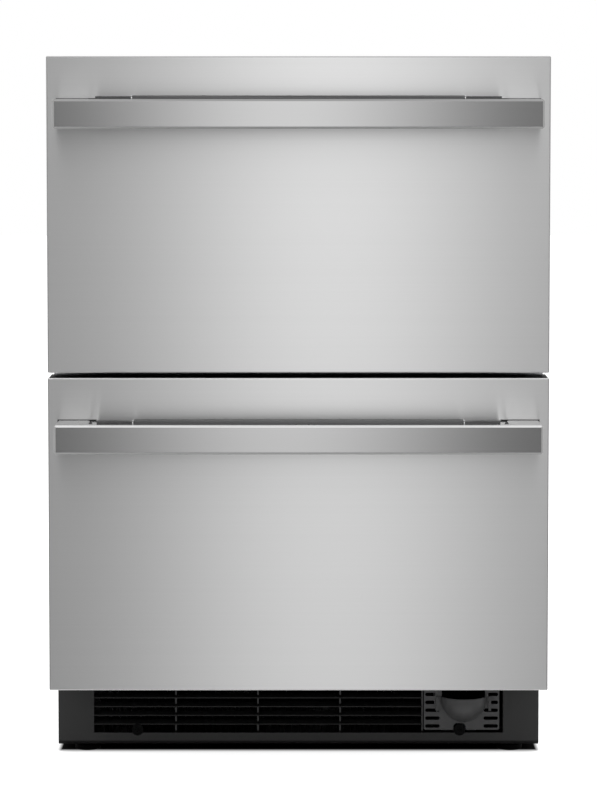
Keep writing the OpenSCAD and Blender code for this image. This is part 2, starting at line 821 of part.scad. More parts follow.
module condenser_fan_blade() color([0.16, 0.16, 0.17])
    fan_wheel(fan_x, fan_y + 2, fan_z, cond_fan_d, 38, 24);

module evaporator_fan_blade() color([0.90, 0.91, 0.92])
    fan_wheel(0, evap_cover_y + 14, evap_fan_z, evap_fan_d, 30, 20);

// each motor has its shaft, its can and a bracket to what carries it
module fan_motors() color([0.35, 0.36, 0.38]) {
    cy = fan_y + 26;
    rod_y(fan_x, fan_z, motor_shaft_d / 2, cy - 14, cy + 6);
    rod_y(fan_x, fan_z, 30, cy + 4, cy + 40);
    for (s = [-1, 1])
        block([fan_x + s * 34 - 5, cy + 14, tray_z1],
            [fan_x + s * 34 + 5, cy + 18, fan_z + 8]);
    block([fan_x - 39, cy + 14, fan_z - 8], [fan_x + 39, cy + 18, fan_z + 8]);
    ey = evap_cover_y + 34;
    rod_y(0, evap_fan_z, motor_shaft_d / 2, ey - 12, ey + 4);
    rod_y(0, evap_fan_z, 22, ey + 2, liner_y1 - 4);
    block([-45, liner_y1 - 5, evap_fan_z - 9], [45, liner_y1, evap_fan_z + 9]);
}

module evaporator_coil() color([0.78, 0.80, 0.82]) {
    x1 = evap_half_w;
    y0 = evap_cover_y + cover_t + 14;
    y1 = coil_y1;
    z0 = upper_z0 + 22;
    z1 = evap_fan_z - evap_fan_d / 2 - 14;
    fin_block(-x1, x1, y0, y1, z0, z1, 14, 1);
    for (i = [0:4])
        rod_x((y0 + y1) / 2 + (i % 2 == 0 ? -8 : 8), z0 + 16 + i * (z1 - z0 - 32) / 4, 4,
            -x1 - 8, x1 + 8);
    for (s = [-1, 1])
        block([s * (x1 + 3) - 1, y0, upper_z0], [s * (x1 + 3) + 1, liner_y1, z1]);
}

module evaporator_cover() color([0.94, 0.95, 0.95]) {
    y1 = evap_cover_y + cover_t;
    edge = seat;
    difference() {
        union() {
            along_y(evap_cover_y, y1)
                round_rect([-liner_x + edge, upper_z0 + edge],
                    [liner_x - edge, upper_z1 - edge], liner_r);
            rod_y(0, evap_fan_z, evap_fan_d / 2 + 5, evap_cover_y, y1 + 28);
        }
        rod_y(0, evap_fan_z, evap_fan_d / 2 + 3, y1, y1 + 28 + eps);
        // outlet louvres in front of the fan and return slots near the floor
        for (i = [-3:3])
            along_y(evap_cover_y - eps, y1 + eps)
                translate([0, evap_fan_z + i * 12])
                    round_rect([-slot_reach(i), -3], [slot_reach(i), 3], 2.9);
        for (i = [-6:6])
            along_y(evap_cover_y - eps, y1 + eps)
                translate([i * 34, upper_z0 + 26]) round_rect([-12, -4], [12, 4], 3.9);
    }
}
// half length of an outlet slot that stays inside the fan circle
function slot_reach(i) = sqrt(pow(evap_fan_d / 2 - 4, 2) - pow(abs(i) * 12 + 3, 2));

// drain hose: back through the liner, then down behind it to the drain pan
module drain_run(r, over = 0) {
    z = upper_z0 + 12;
    rod_y(drain_x, z, r, liner_y1 - 6 - over, drain_y);
    translate([drain_x, drain_y, z]) sphere(r);
    rod_z(drain_x, drain_y, r, tray_z1 + 16 - over, z);
}

module drain_pan() color([0.20, 0.20, 0.21]) {
    x0 = fan_x + cond_fan_d / 2 + 30;
    x1 = drain_x + 22;
    y0 = machine_y0 + 12;
    y1 = rear_panel_y - 8;
    difference() {
        block([x0, y0, tray_z1], [x1, y1, tray_z1 + 34]);
        block([x0 + 2, y0 + 2, tray_z1 + 2], [x1 - 2, y1 - 2, tray_z1 + 34 + eps]);
    }
    difference() {
        drain_run(5);
        drain_run(3.8, eps);
    }
}

function suction_route() = [
    [suction_x, coil_y1, upper_z0 + 40], [suction_x, tube_y, upper_z0 + 40],
    [suction_x, tube_y, machine_z1 - 20],
    [compressor_x + stub_x, tube_y, machine_z1 - 20],
    [compressor_x + stub_x, compressor_y + stub_y, machine_z1 - 20],
    [compressor_x + stub_x, compressor_y + stub_y, shell_z + stub_z]
];

function liquid_route() = [
    [liquid_x, coil_y1, upper_z0 + 60], [liquid_x, tube_y, upper_z0 + 60],
    [liquid_x, tube_y, machine_z1 - 60],
    [liquid_x, fan_y + 3, machine_z1 - 60]
];

module refrigerant_tubes() color([0.72, 0.45, 0.30]) {
    tube(suction_route(), 8);
    tube(liquid_route(), 6);
}

module machine_cover() color([0.42, 0.43, 0.44])
    difference() {
        block([-in_w, rear_panel_y - steel_t, tray_z1],
            [in_w, rear_panel_y, machine_z1]);
        for (i = [0:6], x = [-190, 30])
            along_y(rear_panel_y - steel_t - eps, rear_panel_y + eps)
                translate([x, tray_z1 + 40 + i * 20])
                    round_rect([-70, -3], [70, 3], 2.9);
        rod_y(valve_x, valve_z, valve_port_d / 2 + 2, rear_panel_y - 4, rear_y);
        block([power_x - inlet_half_w, rear_panel_y - 4, power_z - inlet_half_h],
            [power_x + inlet_half_w, rear_y, power_z + inlet_half_h]);
        both_sides() for (z = cover_screw_heights)
            rod_y(cover_screw_x, z, 1.9, rear_panel_y - 4, rear_y);
    }

// Compartments

// trough with an ejector above it, drive head at one end, hung from the ceiling
module ice_maker() color([0.75, 0.77, 0.78]) {
    x0 = -mould_w / 2;
    x1 = mould_w / 2;
    cells = 7;
    cell_w = mould_w / cells;
    difference() {
        block([x0, ice_y - mould_r - 4, ice_z - mould_r - 6],
            [x1, ice_y + mould_r + 4, ice_z + 2]);
        for (i = [0:cells - 1])
            rod_x(ice_y, ice_z, mould_r, x0 + 3 + i * cell_w, x0 + (i + 1) * cell_w - 1);
        block([x0 + 3, ice_y - mould_r, ice_z - 8], [x1 - 3, ice_y + mould_r, ice_z + 3]);
        rod_x(ice_y, ice_z, ejector_d / 2 + fit, x0 - eps, x1 + eps);
    }
    // drive head and hangers
    difference() {
        block([x1, ice_y - mould_r - 8, ice_z - mould_r - 10],
            [x1 + 44, ice_y + mould_r + 8, lower_z1]);
        rod_x(ice_y, ice_z, ejector_d / 2 + fit, x1 - eps, x1 + 12);
    }
    block([x0 - 3, ice_y - 30, ice_z - 6], [x0, ice_y + 30, lower_z1]);
    // ears under the mould that carry the bail arm
    for (s = [-1, 1])
        difference() {
            block([s * (bail_half_w + 5) - 2, bail_y - 6, bail_z - 5],
                [s * (bail_half_w + 5) + 2, ice_y - mould_r + 6, ice_z - mould_r - 5]);
            rod_x(bail_y, bail_z, bail_d / 2 + fit,
                s * (bail_half_w + 5) - 3, s * (bail_half_w + 5) + 3);
        }
}

module ice_ejector() color([0.92, 0.93, 0.94]) {
    cells = 7;
    cell_w = mould_w / cells;
    rod_x(ice_y, ice_z, ejector_d / 2, -mould_w / 2 + 0.5, mould_w / 2 + 10);
    for (i = [0:cells - 1])
        block([-mould_w / 2 + 1 + (i + 0.5) * cell_w - 2, ice_y - 2.5, ice_z],
            [-mould_w / 2 + 1 + (i + 0.5) * cell_w + 2, ice_y + 2.5, ice_z + mould_r - 3]);
}

module ice_bail_arm() color([0.75, 0.76, 0.78]) {
    w = bail_half_w + 8;
    inner = bail_half_w - 4;
    tube([[-w, bail_y, bail_z], [-inner, bail_y, bail_z],
        [-inner, bail_y + bail_reach, bail_z], [inner, bail_y + bail_reach, bail_z],
        [inner, bail_y, bail_z], [w, bail_y, bail_z]], bail_d);
}

module control_panel() color([0.14, 0.15, 0.16])
    block([-95, body_y0 + 14, upper_z1 - 11], [95, body_y0 + 54, upper_z1]);

module light_lenses() color([0.96, 0.97, 0.98])
    for (z = [upper_z1, lower_z1])
        along_x(-70, 70)
            round_rect([body_y0 + 80, z - 6], [body_y0 + 110, z], 2.5);

// one C-shaped channel of a slide: web at u0, flanges out to u1, half height h
module channel(u0, u1, h, web_at_u0) {
    web_u = web_at_u0 ? u0 : u1 - slide_metal;
    translate([web_u, -h]) square([slide_metal, 2 * h]);
    for (s = [-1, 1])
        translate([u0, s > 0 ? h - slide_metal : -h]) square([u1 - u0, slide_metal]);
}

// a slide is drawn with u from the liner wall inwards, for the left wall
module slide_section(part) {
    h = slide_h / 2;
    race = 3;
    h2 = h - slide_metal - race;
    h3 = h2 - slide_metal - race;
    if (part == "rail")
        channel(0, slide_w - 1, h, true);
    if (part == "middle") {
        channel(slide_w * 0.28, slide_w - 1, h2, true);
        for (s = [-1, 1]) {
            translate([slide_w * 0.42, s > 0 ? h2 : -h2 - race + seat])
                square([3, race - seat]);
            translate([slide_w * 0.55, s > 0 ? h3 + seat : -h2 + slide_metal])
                square([3, race - seat]);
        }
    }
    if (part == "drawer")
        channel(slide_w * 0.5, slide_w, h3, false);
}

module slides(part, z)
    both_sides()
        along_y(slide_y0, slide_y1)
            translate([-liner_x, z]) slide_section(part);

module slide_rails() color([0.70, 0.72, 0.74]) {
    slides("rail", upper_slide_z);
    slides("rail", lower_slide_z);
}

// Drawers

module front_skin(z0) color([0.76, 0.77, 0.78])
    difference() {
        intersection() {
            block([-half_front, front_y, z0], [half_front, front_back_y, z0 + front_h]);
            translate([0, 0, z0]) linear_extrude(front_h)
                front_plan(half_front);
            along_x(-half_front, half_front)
                rotate(90) mirror([0, 1]) translate([z0 + front_h / 2, 0])
                    front_plan(front_h / 2);
        }
        block([-half_front + steel_t, front_y + steel_t, z0 + steel_t],
            [half_front - steel_t, front_back_y + eps, z0 + front_h - steel_t]);
    }

// rectangle from the front face to the rear of a front, rounded at the face
module front_plan(half) {
    translate([-half, front_y + fold_r]) square([2 * half, front_t - fold_r]);
    translate([-half + fold_r, front_y]) square([2 * half - 2 * fold_r, front_t]);
    for (s = [-1, 1])
        translate([s * (half - fold_r), front_y + fold_r]) circle(fold_r);
}

module seal_ring(z0, z1, grow)
    difference() {
        round_rect([-liner_x - 4 - gasket_w - grow, z0 - 4 - gasket_w - grow],
            [liner_x + 4 + gasket_w + grow, z1 + 4 + gasket_w + grow], 4);
        round_rect([-liner_x - 4 + grow, z0 - 4 + grow],
            [liner_x + 4 - grow, z1 + 4 - grow], 2);
    }

module inner_panel(z0, open_z0, open_z1) color([0.86, 0.87, 0.88])
    difference() {
        union() {
            block([-half_front + steel_t, front_y + steel_t, z0 + steel_t],
                [half_front - steel_t, front_back_y, z0 + front_h - steel_t]);
            along_y(front_back_y - eps, panel_y)
                round_rect([-liner_x + 14, open_z0 + 12], [liner_x - 14, open_z1 - 12], 10);
        }
        along_y(front_back_y - 2, front_back_y + eps)
            seal_ring(open_z0, open_z1, -3);
    }

module gasket(open_z0, open_z1) color([0.85, 0.85, 0.84]) {
    along_y(front_back_y - 2, front_back_y) seal_ring(open_z0, open_z1, -3);
    along_y(front_back_y, cab_y - seat) seal_ring(open_z0, open_z1, 0);
}

module handle_bar(z0) color([0.76, 0.77, 0.78]) {
    zt = z0 + front_h - handle_drop;
    zb = zt - handle_h;
    inner = half_handle - handle_end_w;
    b = handle_bevel;
    difference() {
        intersection() {
            translate([0, 0, zb]) linear_extrude(handle_h) {
                polygon([[-half_handle, handle_y + b], [-half_handle + b, handle_y],
                    [half_handle - b, handle_y], [half_handle, handle_y + b],
                    [half_handle, handle_y + handle_t], [-half_handle, handle_y + handle_t]]);
                for (s = [-1, 1]) scale([s, 1]) {
                    translate([inner, handle_y + b])
                        square([handle_end_w, handle_out - b - handle_end_r]);
                    translate([inner + handle_end_r, handle_y + b])
                        square([handle_end_w - handle_end_r, handle_out - b]);
                    translate([inner + handle_end_r, front_y - handle_end_r])
                        circle(handle_end_r);
                }
            }
            along_x(-half_handle - eps, half_handle + eps)
                polygon([[handle_y, zb + b], [handle_y + b, zb], [front_y, zb],
                    [front_y, zt], [handle_y + b, zt], [handle_y, zt - b]]);
            along_y(handle_y - eps, front_y + eps)
                polygon([[-half_handle, zb + b], [-half_handle + b, zb],
                    [half_handle - b, zb], [half_handle, zb + b], [half_handle, zt - b],
                    [half_handle - b, zt], [-half_handle + b, zt], [-half_handle, zt - b]]);
        }
        both_sides() rod_z(plug_x, plug_y, plug_d / 2, zt - plug_h, zt + eps);
    }
}
plug_d = 10;
plug_h = 3;
plug_x = half_handle - 28;
plug_y = front_y - 40;
post_foot = 9; // width of a fixing post at the drawer front
post_tip = 4; // width of a fixing post at the bar
post_gap = 6; // gap between post and end block at the bar

module handle_posts(z0) color([0.80, 0.81, 0.82]) {
    zt = z0 + front_h - handle_drop;
    x_tip = half_handle - handle_end_w - post_gap;
    both_sides() {
        difference() {
            translate([0, 0, zt - handle_h + 3]) linear_extrude(handle_h - 4)
                polygon([[x_tip - post_tip, handle_y + handle_t],
                    [x_tip, handle_y + handle_t], [x_tip + post_gap, front_y],
                    [x_tip + post_gap - post_foot, front_y]]);
            rod_z(x_tip, front_y - 14, 1.6, zt - 8, zt);
        }
        rod_z(plug_x, plug_y, plug_d / 2 - 0.1, zt - plug_h, zt - 0.3);
    }
}

module handle_grip(z0) color([0.30, 0.31, 0.32]) {
    zt = z0 + front_h - handle_drop - 0.6;
    zb = zt - handle_h + 1.2;
    y0 = handle_y + handle_t;
    grip_half = half_handle - handle_end_w - post_gap - post_tip - seat;
    along_x(-grip_half, grip_half) grip_profile(y0, zb + knurl_h, zt - knurl_h, grip_d);
    along_x(-knurl_w / 2, knurl_w / 2) grip_profile(y0, zb, zt, grip_d + knurl_h);
}

module grip_profile(y0, zb, zt, d) {
    r = 7;
    translate([y0, zb]) square([d - r, zt - zb]);
    translate([y0, zb + r]) square([d, zt - zb - 2 * r]);
    for (z = [zb + r, zt - r]) translate([y0 + d - r, z]) circle(r);
}

// two arms with the slide members, a rear bar, and ledges that carry the bin rim
module drawer_frame(slide_z, rim_z) color([0.72, 0.74, 0.76]) {
    slides("drawer", slide_z);
    x0 = plate_x - arm_t;
    both_sides() {
        block([-plate_x, panel_y, slide_z - 24], [-x0, slide_y1, rim_z]);
        block([-plate_x, panel_y, rim_z - arm_t], [-x0 + ledge_w, slide_y1, rim_z]);
        block([-plate_x, panel_y, slide_z - 24], [-x0 + 26, panel_y + arm_t, rim_z]);
    }
    block([-x0, slide_y1 - arm_t, slide_z - 16], [x0, slide_y1, slide_z + 8]);
}

module rounded_tub(y0, y1, z0, z1, inset)
    translate([0, 0, z0]) linear_extrude(z1 - z0)
        round_rect([-bin_half_w + inset, y0 + inset], [bin_half_w - inset, y1 - inset],
            bin_r - inset);

module bin_rim(rim_z, y0, y1)
    translate([0, 0, rim_z]) linear_extrude(rim_t) difference() {
        round_rect([-plate_x + 2, y0 - rim_lip], [plate_x - 2, y1 + rim_lip], bin_r);
        round_rect([-bin_half_w + bin_t, y0 + bin_t], [bin_half_w - bin_t, y1 - bin_t],
            bin_r - bin_t);
    }

module upper_bin() color([0.92, 0.94, 0.96]) {
    difference() {
        rounded_tub(bin_y0, bin_y1, upper_bin_z, upper_rim_z + rim_t, 0);
        rounded_tub(bin_y0, bin_y1, upper_bin_z + bin_t, upper_rim_z + rim_t + eps, bin_t);
    }
    bin_rim(upper_rim_z, bin_y0, bin_y1);
}

// deep in front, with a shallow shelf over the machine room for the ice bin
module lower_bin() color([0.92, 0.94, 0.96]) {
    difference() {
        union() {
            rounded_tub(bin_y0, shelf_y, lower_bin_z, lower_rim_z, 0);
            rounded_tub(bin_y0, bin_y1, shelf_z, lower_rim_z + rim_t, 0);
        }
        rounded_tub(bin_y0, shelf_y, lower_bin_z + bin_t, lower_rim_z + rim_t + eps, bin_t);
        rounded_tub(bin_y0, bin_y1, shelf_z + bin_t, lower_rim_z + rim_t + eps, bin_t);
    }
    bin_rim(lower_rim_z, bin_y0, bin_y1);
}

module ice_bin() color([0.95, 0.96, 0.97]) {
    z0 = shelf_z + bin_t;
    z1 = lower_rim_z - 3;
    y0 = shelf_y + 8;
    y1 = bin_y1 - bin_t - 4;
    difference() {
        translate([0, 0, z0]) linear_extrude(z1 - z0)
            round_rect([-ice_bin_w / 2, y0], [ice_bin_w / 2, y1], 12);
        translate([0, 0, z0 + bin_t]) linear_extrude(z1 - z0)
            round_rect([-ice_bin_w / 2 + bin_t, y0 + bin_t],
                [ice_bin_w / 2 - bin_t, y1 - bin_t], 12 - bin_t);
    }
}

// plate across the upper bin that hangs on its front and rear rims
module upper_divider() color([0.96, 0.97, 0.98]) {
    t = 3;
    z1 = upper_rim_z + rim_t + seat;
    along_x(-t / 2, t / 2) {
        translate([bin_y0 + bin_t + 3, upper_bin_z + bin_t + 5])
            square([bin_y1 - bin_y0 - 2 * bin_t - 6, z1 - upper_bin_z - bin_t - 5 + 4]);
        for (s = [0, 1]) {
            y = s == 0 ? bin_y0 - rim_lip - seat - 1.5 : bin_y1 - bin_t - 4;
            translate([y, z1]) square([rim_lip + bin_t + seat + 5.5, 4]);
        }
        translate([bin_y0 - rim_lip - seat - 1.5, z1 - rim_t - 3]) square([1.5, rim_t + 5]);
        translate([bin_y1 + rim_lip + seat, z1 - rim_t - 3]) square([1.5, rim_t + 5]);
    }
}

cabinet_wrapper();
back_deck_panel();
insulation_foam();
upper_liner();
lower_liner();
front_frame();
base_tray();
kick_frame();
vent_grille();
screws();
filter_housing();
filter_cartridge();
filter_cap();
filter_flap();
compressor();
compressor_grommets();
condenser_coil();
condenser_fan_shroud();
fan_motors();
drain_pan();
refrigerant_tubes();
machine_cover();
water_inlet_valve();
power_inlet();
control_box();
evaporator_coil();
evaporator_cover();
ice_maker();
control_panel();
light_lenses();
slide_rails();
counter_brackets();
condenser_fan_blade();
evaporator_fan_blade();
ice_ejector();
ice_bail_arm();
leg(-1, leg_front_y);  // leg_front_left
leg(1, leg_front_y);  // leg_front_right
leg(-1, leg_rear_y);  // leg_rear_left
leg(1, leg_rear_y);  // leg_rear_right
front_skin(upper_front_z);  // upper_front_skin
inner_panel(upper_front_z, upper_z0, upper_z1);  // upper_inner_panel
gasket(upper_z0, upper_z1);  // upper_gasket
handle_bar(upper_front_z);  // upper_handle_bar
handle_posts(upper_front_z);  // upper_handle_posts
handle_grip(upper_front_z);  // upper_handle_grip
drawer_frame(upper_slide_z, upper_rim_z);  // upper_drawer_frame
upper_bin();
color("silver") slides("middle", upper_slide_z);  // upper_slide_middle
upper_divider();
front_skin(lower_front_z);  // lower_front_skin
inner_panel(lower_front_z, lower_z0, lower_z1);  // lower_inner_panel
gasket(lower_z0, lower_z1);  // lower_gasket
handle_bar(lower_front_z);  // lower_handle_bar
handle_posts(lower_front_z);  // lower_handle_posts
handle_grip(lower_front_z);  // lower_handle_grip
drawer_frame(lower_slide_z, lower_rim_z);  // lower_drawer_frame
lower_bin();
color("silver") slides("middle", lower_slide_z);  // lower_slide_middle
ice_bin();
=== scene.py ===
"""Undercounter drawer freezer, dressed round its CAD frame."""
import json
import math

import bmesh
import bpy
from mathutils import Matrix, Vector


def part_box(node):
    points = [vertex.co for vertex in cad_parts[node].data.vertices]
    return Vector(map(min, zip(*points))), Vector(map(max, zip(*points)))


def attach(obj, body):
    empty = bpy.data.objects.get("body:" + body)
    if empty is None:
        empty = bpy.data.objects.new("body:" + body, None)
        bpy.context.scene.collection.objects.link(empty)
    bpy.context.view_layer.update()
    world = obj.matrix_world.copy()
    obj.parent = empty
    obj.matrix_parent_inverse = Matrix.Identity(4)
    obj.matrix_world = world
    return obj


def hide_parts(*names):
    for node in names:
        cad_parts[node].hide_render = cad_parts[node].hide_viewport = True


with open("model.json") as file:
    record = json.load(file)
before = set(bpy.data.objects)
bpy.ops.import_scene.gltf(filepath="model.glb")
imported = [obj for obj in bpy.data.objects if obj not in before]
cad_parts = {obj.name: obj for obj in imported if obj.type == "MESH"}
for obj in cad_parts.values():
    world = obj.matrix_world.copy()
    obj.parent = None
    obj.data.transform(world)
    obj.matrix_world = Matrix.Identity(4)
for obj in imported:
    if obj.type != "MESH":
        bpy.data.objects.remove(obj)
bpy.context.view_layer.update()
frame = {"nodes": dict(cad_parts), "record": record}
nodes = frame["nodes"]

# Camera: in front of the fronts, near the height of the upper handle. It is tipped down a
# little, and shifted the rest of the way, so that the sides stay almost parallel.
front_low, front_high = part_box("upper_front_skin")
camera_distance = 3.549
camera_height = 0.84
camera_tip = math.radians(3.74)
camera_data = bpy.data.cameras.new("camera")
camera_data.lens = 133.1
camera_data.sensor_width = 36
camera_data.shift_y = -0.16
camera_data.clip_end = 60
camera = bpy.data.objects.new("camera", camera_data)
camera.location = (0, front_low.y - camera_distance, camera_height)
camera.rotation_euler = (math.pi / 2 - camera_tip, 0, 0)
bpy.context.scene.collection.objects.link(camera)
bpy.context.scene.camera = camera
bpy.context.scene.view_settings.view_transform = "Standard"


# Room: the camera, gloss and glass see it plain white, and matt surfaces get its light
# mostly from above, as from a ceiling of soft boxes.
def number(tree, operation, *parts):
    """Works out one number from links and plain values."""
    node = tree.nodes.new("ShaderNodeMath")
    node.operation = operation
    for socket, part in zip(node.inputs, parts):
        if isinstance(part, (int, float)):
            socket.default_value = part
        else:
            tree.links.new(part, socket)
    return node.outputs[0]


def seen_directly(tree):
    """1 for rays of the camera, of gloss and of glass, 0 for diffuse light."""
    path = tree.nodes.new("ShaderNodeLightPath")
    gloss = number(tree, "MAXIMUM", path.outputs["Is Camera Ray"], path.outputs["Is Glossy Ray"])
    return number(tree, "MAXIMUM", gloss, path.outputs["Is Transmission Ray"])


def span(tree, value, start, end, low=0.0, high=1.0):
    """Node that maps a value from one range to another, and holds it at the ends."""
    node = tree.nodes.new("ShaderNodeMapRange")
    node.inputs["From Min"].default_value = start
    node.inputs["From Max"].default_value = end
    node.inputs["To Min"].default_value = low
    node.inputs["To Max"].default_value = high
    tree.links.new(value, node.inputs["Value"])
    return node


ambient_low = 0.1
ambient_high = 0.75
white_below = 0.9
world = bpy.data.worlds.new("studio")
world.use_nodes = True
bpy.context.scene.world = world
room = world.node_tree
room.nodes.clear()
diffuse_sky = room.nodes.new("ShaderNodeBackground")
diffuse_sky.inputs["Color"].default_value = (1, 1, 1, 1)
white_sky = room.nodes.new("ShaderNodeBackground")
white_sky.inputs["Color"].default_value = (1, 1, 1, 1)
sky_way = room.nodes.new("ShaderNodeTexCoord")
sky_axes = room.nodes.new("ShaderNodeSeparateXYZ")
room.links.new(sky_way.outputs["Generated"], sky_axes.inputs[0])
sky_lift = span(room, sky_axes.outputs["Z"], 0.05, 0.75, ambient_low, ambient_high)
room.links.new(sky_lift.outputs["Result"], diffuse_sky.inputs["Strength"])
sky_below = span(room, sky_axes.outputs["Z"], -0.5, -0.25, white_below)
room.links.new(sky_below.outputs["Result"], white_sky.inputs["Strength"])
sky_mix = room.nodes.new("ShaderNodeMixShader")
sky_out = room.nodes.new("ShaderNodeOutputWorld")
room.links.new(seen_directly(room), sky_mix.inputs["Fac"])
room.links.new(diffuse_sky.outputs[0], sky_mix.inputs[1])
room.links.new(white_sky.outputs[0], sky_mix.inputs[2])
room.links.new(sky_mix.outputs[0], sky_out.inputs["Surface"])


# Floor: white and matt, its colour painted near black under the cabinet as a painted contact
# shadow. Where it is seen directly it also glows: not at all under the cabinet, a little less
# than fully round it, so that the soft shadow stays, and fully far away.
def new_object(name, shape):
    """A finished bmesh becomes an object of the scene."""
    mesh = bpy.data.meshes.new(name)
    shape.to_mesh(mesh)
    shape.free()
    thing = bpy.data.objects.new(name, mesh)
    bpy.context.scene.collection.objects.link(thing)
    return thing


def plane(name, width, depth, place):
    """Rectangle that lies flat."""
    shape = bmesh.new()
    bmesh.ops.create_grid(shape, x_segments=1, y_segments=1, size=0.5)
    bmesh.ops.scale(shape, vec=(width, depth, 1), verts=shape.verts)
    thing = new_object(name, shape)
    thing.location = place
    return thing


def greys(tree, value, stops, blend="LINEAR"):
    """Grey ramp over a value, from rising pairs of place and shade, the first at place 0."""
    ramp = tree.nodes.new("ShaderNodeValToRGB")
    ramp.color_ramp.interpolation = blend
    marks = ramp.color_ramp.elements
    end = stops[-1][0]
    marks[-1].position = end
    for place, shade in stops:
        mark = marks[0] if place == 0 else marks[-1] if place == end else marks.new(place)
        mark.color = (shade, shade, shade, 1)
    tree.links.new(value, ramp.inputs["Fac"])
    return ramp.outputs["Color"]


footprint = (0.297, 0.2423, 0)
footprint_middle = (0, -0.0827, 0)
glow_reach = 4.0
contact_reach = 0.004
floor_size = 24
floor = plane("floor", floor_size, floor_size, (0, 0, 0))
floor.visible_glossy = False
floor_paint = bpy.data.materials.new("floor_white")
floor_paint.use_nodes = True
tree = floor_paint.node_tree
tree.nodes.clear()
where = tree.nodes.new("ShaderNodeTexCoord")
last = where.outputs["Object"]
for operation, amount in (("ADD", footprint_middle), ("ABSOLUTE", None),
                          ("SUBTRACT", footprint), ("MAXIMUM", (0, 0, 0)),
                          ("MULTIPLY", (2.5, 1, 1))):
    step = tree.nodes.new("ShaderNodeVectorMath")
    step.operation = operation
    if amount:
        step.inputs[1].default_value = amount
    tree.links.new(last, step.inputs[0])
    last = step.outputs["Vector"]
away = tree.nodes.new("ShaderNodeVectorMath")
away.operation = "LENGTH"
tree.links.new(last, away.inputs[0])
share = number(tree, "DIVIDE", away.outputs["Value"], glow_reach)
strength = greys(tree, share, ((0, 0), (contact_reach, 0.9), (0.25, 0.8), (1, 1)))
# the floor's matt colour is painted near black under the cabinet: a painted contact shadow
contact = greys(tree, share, ((0, 0.01), (contact_reach, 0.6)))
matt = tree.nodes.new("ShaderNodeBsdfDiffuse")
glow = tree.nodes.new("ShaderNodeEmission")
both = tree.nodes.new("ShaderNodeAddShader")
floor_out = tree.nodes.new("ShaderNodeOutputMaterial")
tree.links.new(contact, matt.inputs["Color"])
tree.links.new(number(tree, "MULTIPLY", seen_directly(tree), strength), glow.inputs["Strength"])
tree.links.new(matt.outputs[0], both.inputs[0])
tree.links.new(glow.outputs[0], both.inputs[1])
tree.links.new(both.outputs[0], floor_out.inputs["Surface"])
floor.data.materials.append(floor_paint)


# Shade under the cabinet: gloss doesn't see the floor, and gets a dark plane in its place,
# as large as the cabinet and reaching a little ahead of it.
def principled(name, colour, roughness, metallic=0.0, gloss=0.5):
    """Material with one Principled shader and its plain values."""
    made = bpy.data.materials.new(name)
    made.use_nodes = True
    shader = made.node_tree.nodes["Principled BSDF"]
    shader.inputs["Base Color"].default_value = (*colour, 1)
    shader.inputs["Roughness"].default_value = roughness
    shader.inputs["Metallic"].default_value = metallic
    shader.inputs["Specular IOR Level"].default_value = gloss
    return made


def show_to_gloss_only(thing):
    """Hides a thing from every ray but those of gloss."""
    thing.visible_camera = False
    thing.visible_diffuse = False
    thing.visible_transmission = False
    thing.visible_shadow = False


shade_ahead = 0.06
shade_lift = 0.0004
shade = plane("floor_shade", 2 * footprint[0], 2 * footprint[1] + shade_ahead,
              (-footprint_middle[0], -footprint_middle[1] - shade_ahead / 2, shade_lift))
show_to_gloss_only(shade)
shade.data.materials.append(principled("floor_shade", (0.002, 0.002, 0.002), 1, gloss=0))

# Screen: half a dome round the front that only gloss sees, for the steel to mirror. It is
# graded by bearing and brightest in its middle, darker toward the floor, and an even grey
# overhead.
screen_radius = 7.5
screen_height = 0.5
screen_strength = 1.94
screen_turn = math.radians(1.0)
ceiling_start = screen_radius * math.sin(math.radians(18))
ceiling_full = screen_radius * math.sin(math.radians(50))
ceiling_shade = 0.72
screen_floor = screen_radius * math.sin(math.radians(45))
bearing_shades = ((-90, 0.5), (-60, 0.33), (-27, 0.18), (-7.5, 0.2), (0, 1.0), (7.5, 0.197),
                  (10, 0.29), (27, 0.26), (60, 0.33), (90, 0.5))
height_shades = ((0, 0.08), (0.15, 0.12), (0.25, 0.36), (0.33, 0.5), (0.5, 0.77), (0.7, 1),
                 (1, 1))
shape = bmesh.new()
bmesh.ops.create_uvsphere(shape, u_segments=48, v_segments=24, radius=screen_radius)
behind = [vert for vert in shape.verts if vert.co.y > 0.001 or vert.co.z < -screen_floor]
bmesh.ops.delete(shape, geom=behind, context="VERTS")
screen = new_object("screen", shape)
screen.location = (0, front_low.y, screen_height)
show_to_gloss_only(screen)
screen_paint = bpy.data.materials.new("screen_graded")
screen_paint.use_nodes = True
tree = screen_paint.node_tree
tree.nodes.clear()
where = tree.nodes.new("ShaderNodeTexCoord")
axes = tree.nodes.new("ShaderNodeSeparateXYZ")
tree.links.new(where.outputs["Object"], axes.inputs[0])
bearing = number(tree, "ARCTAN2", axes.outputs["X"], number(tree, "ABSOLUTE", axes.outputs["Y"]))
off_centre = number(tree, "SUBTRACT", bearing, screen_turn)
share = span(tree, off_centre, -math.pi / 2, math.pi / 2)
stops = [(0.5 + angle / 180, grey) for angle, grey in bearing_shades]
shades = greys(tree, share.outputs["Result"], stops, "EASE")
rise = span(tree, axes.outputs["Z"], ceiling_start, ceiling_full)
rise.interpolation_type = "SMOOTHSTEP"
overhead = tree.nodes.new("ShaderNodeMix")
overhead.data_type = "RGBA"
overhead.inputs["B"].default_value = (ceiling_shade, ceiling_shade, ceiling_shade, 1)
tree.links.new(rise.outputs["Result"], overhead.inputs["Factor"])
tree.links.new(shades, overhead.inputs["A"])
height_share = span(tree, axes.outputs["Z"], -screen_radius, screen_radius)
level = greys(tree, height_share.outputs["Result"], height_shades)
glow = tree.nodes.new("ShaderNodeEmission")
screen_out = tree.nodes.new("ShaderNodeOutputMaterial")
tree.links.new(number(tree, "MULTIPLY", level, screen_strength), glow.inputs["Strength"])
tree.links.new(overhead.outputs["Result"], glow.inputs["Color"])
tree.links.new(glow.outputs[0], screen_out.inputs["Surface"])
screen.data.materials.append(screen_paint)


